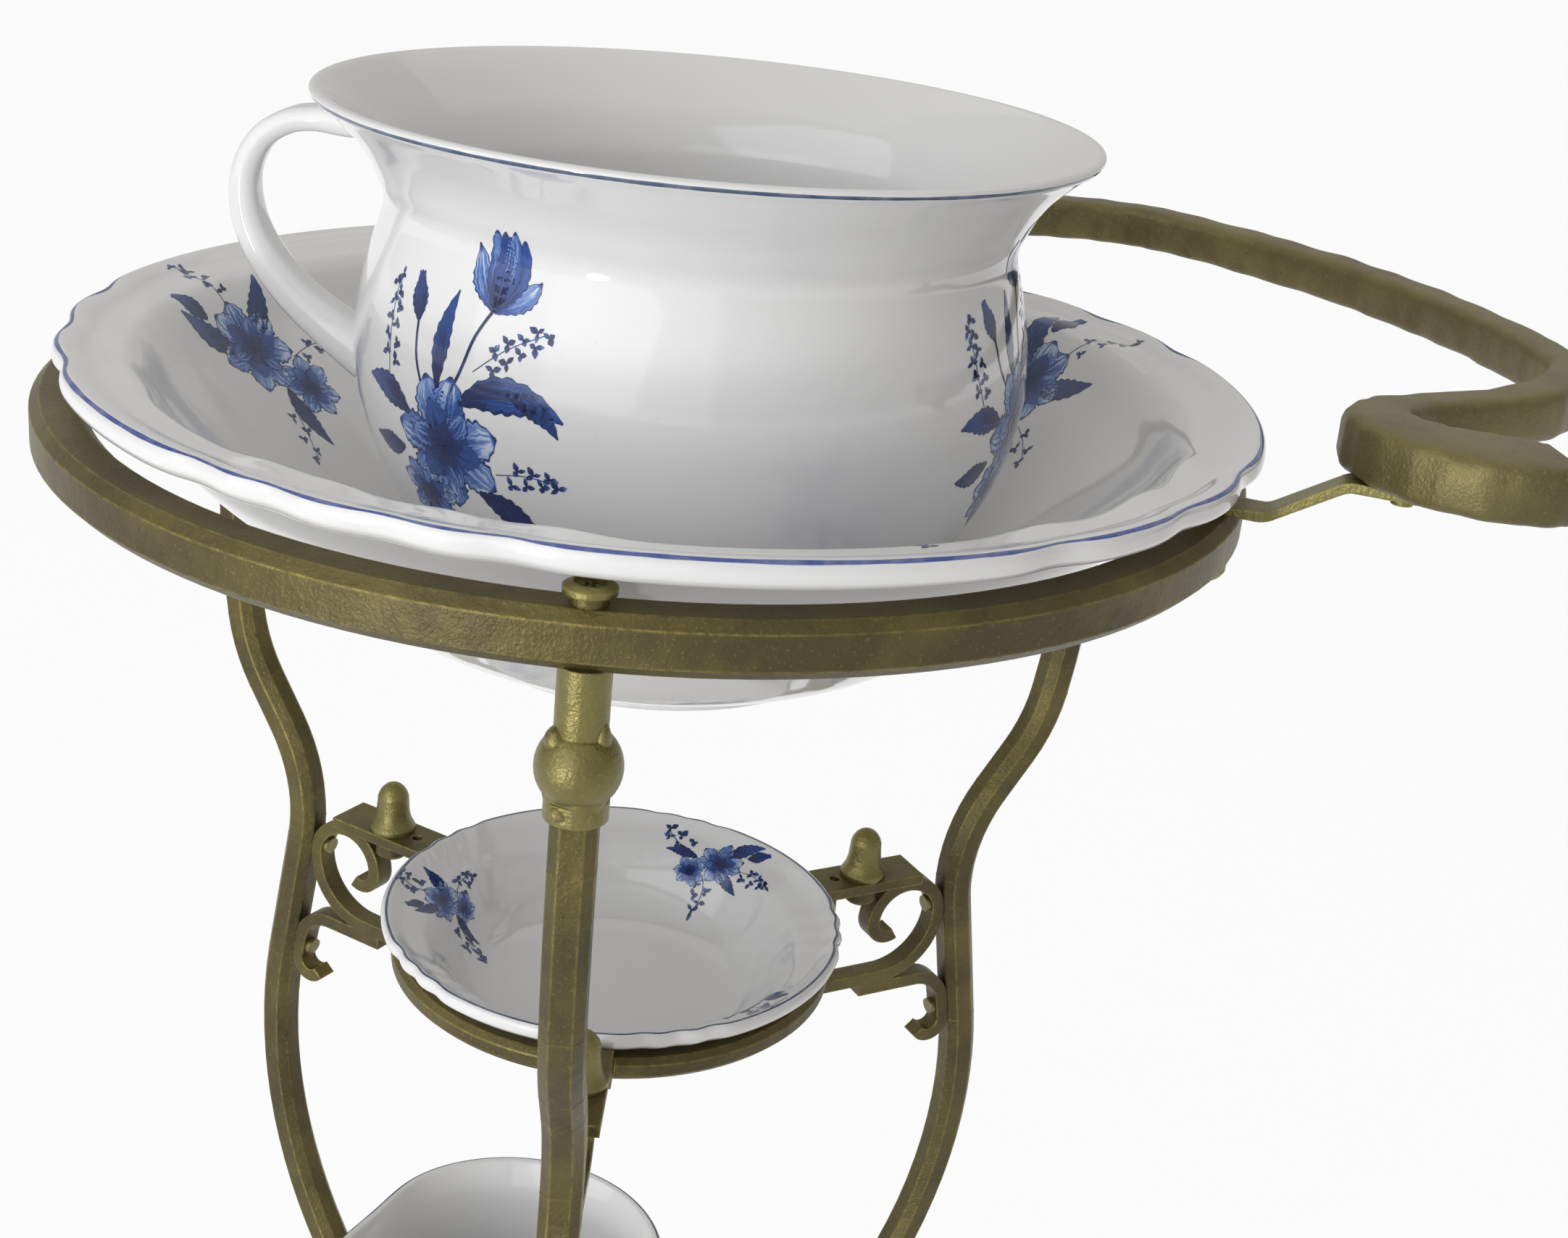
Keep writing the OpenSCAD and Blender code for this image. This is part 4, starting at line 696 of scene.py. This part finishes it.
for number, azimuth in enumerate(LEG_AZIMUTHS):
    knop = polar((0, 0), RING_MID_R, azimuth, KNOP_Z)
    lumpy("weld_under_knop_%d" % number, knop, CONE, 1.3, 4.2, CONE_SEED + number)
    for name, side, out, up, wide, tall, seed in BLOBS:
        weld_blob("%s_%d" % (name, number), azimuth, side, out, up, wide, tall, seed + number)


# ======== flowers ========
PATCH_LIFT = 0.13                      # how far a patch stands proud of the glaze
PATCH_STEP = 0.035                     # and how much more for each layer over the first


class Spray:
    """A drawing made of small curved patches, laid on a piece of pottery just proud of its glaze."""

    def __init__(self, name, target, place, body):
        self.name, self.place, self.body = name, place, body
        mesh = target.data
        self.tree = BVHTree.FromPolygons([v.co for v in mesh.vertices], [p.vertices for p in mesh.polygons])
        self.verts, self.faces, self.uv, self.tone, self.seed = [], [], [], [], []
        self.count = 0

    def onto(self, x, y, layer):
        """A point of the drawing, in mm, set on the surface."""
        guess = self.place(x, y)
        spot, normal, _, _ = self.tree.find_nearest(guess)
        return spot + normal * (PATCH_LIFT + PATCH_STEP * layer) * MM

    def patch(self, line, widths, tone, layer=0, across=6, wobble=0.0):
        """A petal, leaf or stem: a curved centre line with a width at each of its points."""
        self.count += 1
        fine = smooth_line([(*p, w) for p, w in zip(line, widths)], 5)
        start = len(self.verts)
        for i, (x, y, width) in enumerate(fine):
            x0, y0, _ = fine[max(i - 1, 0)]
            x1, y1, _ = fine[min(i + 1, len(fine) - 1)]
            length = math.hypot(x1 - x0, y1 - y0) or 1.0
            nx, ny = -(y1 - y0) / length, (x1 - x0) / length
            ragged = 1 + wobble * math.sin(i * 1.9 + self.count)
            for j in range(across + 1):
                off = (j / across - 0.5) * max(width, 0.05) * ragged
                self.verts.append(self.onto(x + nx * off, y + ny * off, layer))
                self.uv.append((i / (len(fine) - 1), j / across))
                self.tone.append(tone)
                self.seed.append(self.count * 3.7)
        for i in range(len(fine) - 1):
            for j in range(across):
                q = start + i * (across + 1) + j
                self.faces.append((q, q + across + 1, q + across + 2, q + 1))

    def petal(self, x, y, heading, length, width, tone, bend=0.0, layer=0, fat=0.45):
        """One petal or leaf from its root, widest at the fat share of its length."""
        line, widths = [], []
        for i in range(6):
            t = i / 5
            a = math.radians(heading + bend * t)
            line.append((x, y) if i == 0 else
                        (line[-1][0] + math.cos(a) * length / 5, line[-1][1] + math.sin(a) * length / 5))
            rise = math.sin(math.pi * min(1.0, t / (2 * fat)) if t < fat else
                            math.pi * (0.5 + 0.5 * (t - fat) / (1 - fat)))
            widths.append(width * max(rise, 0.06 if i else 0.16))
        self.patch(line, widths, tone, layer, wobble=0.10)

    def stem(self, *points, width=0.55, tone=0.95):
        self.patch(list(points), [width] * len(points), tone, across=1)

    def finish(self):
        obj = add_object(self.name, self.verts, self.faces, FLOWER_PAINT, self.body)
        layer = obj.data.uv_layers.new(name="stroke")
        layer.data.foreach_set("uv", [c for loop in obj.data.loops for c in self.uv[loop.vertex_index]])
        set_values(obj, "tone", self.tone)
        set_values(obj, "seed", self.seed)


def rose(s, x, y, size, turn):
    """A full bloom: outer petals left pale, inner ones dark."""
    for i in range(7):
        a = turn + i * 360 / 7 + 8 * math.sin(i * 2.3)
        s.petal(x, y, a, size, size * 0.62, 0.28 + 0.14 * (i % 2), bend=10 * math.sin(i * 1.7), fat=0.66)
    for i in range(6):
        a = turn + 25 + i * 60 + 10 * math.sin(i * 3.1)
        s.petal(x, y, a, size * 0.68, size * 0.42, 0.62 + 0.12 * (i % 2), bend=14, layer=1, fat=0.6)
    for i in range(5):
        s.petal(x, y, turn + i * 72, size * 0.38, size * 0.24, 0.9, bend=-16, layer=2, fat=0.55)
    for i in range(4):
        a = turn + 40 + i * 90
        s.petal(x, y, a, size * 0.16, size * 0.12, 0.98, layer=3)


def tulip(s, x, y, size, heading):
    """A half open cup with five tongues and two petals that fold out."""
    for off, reach, wide, tone in ((-62, 0.86, 0.34, 0.30), (60, 0.88, 0.36, 0.36)):
        s.petal(x, y, heading + off, size * reach, size * wide, tone, bend=-off * 0.55, fat=0.62)
    for off, reach, wide, tone in ((-30, 0.98, 0.34, 0.72), (28, 1.0, 0.34, 0.66)):
        s.petal(x, y, heading + off, size * reach, size * wide, tone, bend=-off * 0.9, layer=1, fat=0.55)
    for off, reach, tone in ((-10, 1.06, 0.5), (12, 1.0, 0.8), (1, 0.92, 0.62)):
        s.petal(x, y, heading + off, size * reach, size * 0.30, tone, bend=-off, layer=2, fat=0.5)


def bud(s, x, y, size, heading):
    """A closed bud of three petals."""
    for off, tone in ((-16, 0.75), (16, 0.6), (0, 0.85)):
        s.petal(x, y, heading + off, size, size * 0.42, tone, bend=-off * 2.2, layer=1 if off == 0 else 0)


def sprig(s, x, y, length, heading, blossoms, rng):
    """A thin stem of small dabs, as of forget-me-nots."""
    a = math.radians(heading)
    tip = (x + math.cos(a) * length, y + math.sin(a) * length)
    half = length / 2
    mid = (x + math.cos(a) * half - math.sin(a) * 1.2, y + math.sin(a) * half + math.cos(a) * 1.2)
    s.stem((x, y), mid, tip, width=0.3, tone=0.7)
    for i in range(blossoms):
        t = 0.25 + 0.75 * i / max(1, blossoms - 1)
        side = 1 if i % 2 else -1
        off = (3.2 - 2.0 * t) * side + rng.uniform(-0.5, 0.5)
        bx = x + math.cos(a) * length * t - math.sin(a) * off
        by = y + math.sin(a) * length * t + math.cos(a) * off
        for k in range(3):
            s.petal(bx, by, heading + 120 * k + rng.uniform(-30, 30), rng.uniform(1.8, 3.2),
                    rng.uniform(1.2, 2.0), rng.uniform(0.6, 1.0))


def leaf(s, x, y, heading, length, width, bend, tone=0.72):
    s.petal(x, y, heading, length, width, tone, bend=bend, fat=0.42)


def spots(size, turn):
    """Gives a function that takes a place in a bunch to the drawing, sized and turned."""
    c, n = math.cos(math.radians(turn)), math.sin(math.radians(turn))
    return lambda x, y: (size * (c * x - n * y), size * (n * x + c * y))


def big_spray(s, seed, k, turn):
    """The main bunch: a rose, a tulip over it, a bud, leaves and sprigs. k is its size."""
    rng = random.Random(seed)
    spot = spots(k, turn)
    s.stem(spot(-2, 8), spot(5, 22), spot(9, 34), spot(14, 43), width=1.0)
    s.stem(spot(-6, 10), spot(-13, 22), spot(-15, 33), width=0.9)
    leaf(s, *spot(6, 14), 42 + turn, 36 * k, 10.5 * k, -66)
    leaf(s, *spot(22, 20), 8 + turn, 20 * k, 6.5 * k, -60, 0.85)
    leaf(s, *spot(-3, 16), 100 + turn, 30 * k, 6.5 * k, -26, 0.8)
    leaf(s, *spot(-15, 6), 146 + turn, 25 * k, 8.5 * k, 36, 0.8)
    leaf(s, *spot(12, -12), -16 + turn, 24 * k, 9.5 * k, -22, 0.92)
    leaf(s, *spot(-8, -18), -122 + turn, 20 * k, 8.5 * k, 26, 0.95)
    leaf(s, *spot(-20, -6), 200 + turn, 19 * k, 7.5 * k, -30, 0.9)
    rose(s, *spot(0, 0), 21 * k, 20 + turn)
    rose(s, *spot(-11, -20), 13.5 * k, 64 + turn)
    tulip(s, *spot(14, 42), 21 * k, 80 + turn)
    bud(s, *spot(-15, 33), 15 * k, 104 + turn)
    sprig(s, *spot(-25, 10), 34 * k, 98 + turn, 11, rng)
    sprig(s, *spot(10, 24), 27 * k, 34 + turn, 9, rng)
    sprig(s, *spot(19, -4), 20 * k, 4 + turn, 7, rng)


def small_spray(s, seed, k, turn):
    """A smaller bunch for the bowls: two blooms, leaves and sprigs. k is its size."""
    rng = random.Random(seed)
    spot = spots(k, turn)
    leaf(s, *spot(2, 2), 20 + turn, 13 * k, 4.4 * k, 30, 0.85)
    leaf(s, *spot(-3, 3), 128 + turn, 14 * k, 4.4 * k, -26, 0.8)
    leaf(s, *spot(-2, -6), 232 + turn, 12 * k, 4.2 * k, 24, 0.9)
    rose(s, *spot(0, 2), 8.6 * k, 10 + turn)
    rose(s, *spot(3, -9), 6.2 * k, 50 + turn)
    bud(s, *spot(-4, 11), 7.5 * k, 104 + turn)
    sprig(s, *spot(2, 9), 13 * k, 70 + turn, 6, rng)
    sprig(s, *spot(-5, -8), 12 * k, 216 + turn, 5, rng)
    sprig(s, *spot(6, -4), 11 * k, -14 + turn, 5, rng)


def on_wall(centre, radius, azimuth, height):
    """Places a drawing on an upright wall, with up as up and seen from outside."""
    def place(x, y):
        return polar(centre, radius, azimuth + math.degrees(x / radius), height + y)
    return place


def in_bowl(centre, radius, azimuth, height, slope):
    """Places a drawing inside a bowl: its up runs out towards the rim."""
    def place(x, y):
        out, up = y * math.cos(math.radians(slope)), y * math.sin(math.radians(slope))
        return polar(centre, radius + out, azimuth - math.degrees(x / radius), height + up)
    return place


SPRAYS = [
    # name, piece, body, place, kind, seed, size, turn
    ("pot_flowers_front", pot, "pot", on_wall(POT_CENTRE, 104, -128, 787), big_spray, 5, 1.0, 0),
    ("pot_flowers_right", pot, "pot", on_wall(POT_CENTRE, 104, -18, 796), big_spray, 6, 0.95, 8),
    ("pot_flowers_back", pot, "pot", on_wall(POT_CENTRE, 104, 96, 790), big_spray, 8, 1.0, -4),
    ("basin_flowers_left", basin, "basin", in_bowl(BASIN_CENTRE, 146, 163, 773, 46),
     small_spray, 15, 2.1, 20),
    ("basin_flowers_right", basin, "basin", in_bowl(BASIN_CENTRE, 148, 36, 775, 46),
     small_spray, 16, 2.1, -15),
    ("basin_flowers_front", basin, "basin", in_bowl(BASIN_CENTRE, 140, -58, 767, 46),
     small_spray, 17, 2.0, 0),
    ("dish_flowers_left", dish, "dish", in_bowl(DISH_CENTRE, 61, 168, 585, 40), small_spray, 25, 1.05, 30),
    ("dish_flowers_back", dish, "dish", in_bowl(DISH_CENTRE, 64, 60, 588, 36), small_spray, 26, 1.1, -70),
    ("dish_flowers_front", dish, "dish", in_bowl(DISH_CENTRE, 58, -40, 582, 40), small_spray, 27, 1.05, 10),
    ("jug_flowers_left", jug, "jug", on_wall(JUG_CENTRE, 56, 120, 362), small_spray, 35, 1.4, 0),
    ("jug_flowers_front", jug, "jug", on_wall(JUG_CENTRE, 56, -62, 362), small_spray, 36, 1.4, 0),
]
for name, target, body, place, kind, seed, size, turn in SPRAYS:
    spray = Spray(name, target, place, body)
    kind(spray, seed, size, turn)
    spray.finish()

# ======== finishes of the CAD nodes that stay ========
BRIGHT_NODES = {"ring_screws", "finials", "leg_knops", "leg_tubes", "waist_screws", "bracket_rivets",
                "strap_nuts", "rail_rivets", "shelf_screws", "strap_bolts", "rail_strap_front",
                "rail_strap_rear"}
for name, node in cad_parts.items():
    finish = GILT_BRIGHT if name in BRIGHT_NODES else GILT
    if not node.material_slots:
        node.data.materials.append(finish)
    for slot in node.material_slots:
        slot.material = finish

# ======== floor, light and camera ========
FLOOR_HALF = 14.0                      # metres
AIR_LIGHT = 0.37                       # strength of the soft light from all sides
MIRRORED_WHITE = 0.30                  # share of the white background that gloss shows


def make_stage():
    """The pale floor under the stand."""
    mesh = bpy.data.meshes.new("floor")
    h = FLOOR_HALF
    mesh.from_pydata([(-h, -h, 0), (h, -h, 0), (h, h, 0), (-h, h, 0)], [], [(0, 1, 2, 3)])
    mesh.materials.append(make_floor())
    floor = bpy.data.objects.new("floor", mesh)
    bpy.context.collection.objects.link(floor)


def make_world():
    """Soft warm light from all sides, and white where the camera sees no object."""
    world = bpy.data.worlds.new("studio")
    bpy.context.scene.world = world
    world.use_nodes = True
    tree = world.node_tree
    tree.nodes.clear()
    out = tree.nodes.new("ShaderNodeOutputWorld")
    soft = tree.nodes.new("ShaderNodeBackground")
    soft.inputs["Color"].default_value = (1.0, 0.97, 0.90, 1)
    soft.inputs["Strength"].default_value = AIR_LIGHT
    white = tree.nodes.new("ShaderNodeBackground")
    white.inputs["Color"].default_value = (1, 1, 1, 1)
    white.inputs["Strength"].default_value = 1.0
    path = tree.nodes.new("ShaderNodeLightPath")
    either = tree.nodes.new("ShaderNodeMath")
    either.operation = "MAXIMUM"
    tree.links.new(path.outputs["Is Camera Ray"], either.inputs[0])
    tree.links.new(path.outputs["Is Transmission Ray"], either.inputs[1])
    gloss = tree.nodes.new("ShaderNodeMath")
    gloss.operation = "MULTIPLY_ADD"
    gloss.inputs[1].default_value = MIRRORED_WHITE
    tree.links.new(path.outputs["Is Glossy Ray"], gloss.inputs[0])
    tree.links.new(either.outputs[0], gloss.inputs[2])
    gloss.use_clamp = True
    mix = tree.nodes.new("ShaderNodeMixShader")
    tree.links.new(gloss.outputs[0], mix.inputs["Fac"])
    tree.links.new(soft.outputs[0], mix.inputs[1])
    tree.links.new(white.outputs[0], mix.inputs[2])
    tree.links.new(mix.outputs[0], out.inputs["Surface"])


def add_area(name, spot, aim, size, watts, colour):
    """A soft box at a spot, turned to what it lights, both in mm from the stand's axis. Its size is in m."""
    data = bpy.data.lights.new(name, "AREA")
    data.shape = "RECTANGLE"
    data.size, data.size_y = size
    data.energy = watts
    data.color = colour
    lamp = bpy.data.objects.new(name, data)
    bpy.context.collection.objects.link(lamp)
    lamp.location = at(*spot)
    lamp.rotation_mode = "QUATERNION"
    lamp.rotation_quaternion = (at(*aim) - lamp.location).to_track_quat("-Z", "Y")


make_stage()
make_world()
POT_SIDE = (-12, -100, 830)
add_area("key", (-1900, -2100, 2200), (0, 0, 700), (4.0, 3.8), 52, (0.94, 0.96, 1.0))
add_area("fill", (-900, -2800, 1250), (0, 0, 650), (3.2, 2.0), 13, (0.98, 0.98, 1.0))
add_area("top", (200, 600, 2800), (0, 0, 700), (3.0, 3.0), 8, (1.0, 0.98, 0.95))
add_area("window_high", (-530, -925, 585), POT_SIDE, (0.04, 0.06), 0.9, (1.0, 1.0, 1.0))
add_area("window_low", (-640, -1090, 560), POT_SIDE, (0.06, 0.22), 3.0, (1.0, 1.0, 1.0))

# the camera that took the photo, fitted to its outlines; angles in radians
CAMERA_SPOT = (43.2, -674.1, 980.0)
CAMERA_YAW = -0.0089
CAMERA_PITCH = 0.3795
CAMERA_ROLL = 0.1014
FOCAL_PIXELS = 2997.7
PHOTO_WIDTH = 2164
SENSOR = 36.0


def make_camera():
    """The photo's camera. The roll turns its level right and upright about the view."""
    data = bpy.data.cameras.new("camera")
    data.sensor_fit = "HORIZONTAL"
    data.sensor_width = SENSOR
    data.lens = SENSOR * FOCAL_PIXELS / PHOTO_WIDTH
    data.clip_start, data.clip_end = 0.02, 60
    cam = bpy.data.objects.new("camera", data)
    bpy.context.collection.objects.link(cam)
    y, p, r = CAMERA_YAW, CAMERA_PITCH, CAMERA_ROLL
    ahead = Vector((-math.sin(y) * math.cos(p), math.cos(y) * math.cos(p), -math.sin(p)))
    level = Vector((math.cos(y), math.sin(y), 0))
    upright = level.cross(ahead)
    right = math.cos(r) * level + math.sin(r) * upright
    up = -math.sin(r) * level + math.cos(r) * upright
    turn = Matrix((right, up, -ahead)).transposed().to_4x4()
    cam.matrix_world = Matrix.Translation(at(*CAMERA_SPOT)) @ turn
    bpy.context.scene.camera = cam


make_camera()
bpy.context.scene.view_settings.view_transform = "Standard"
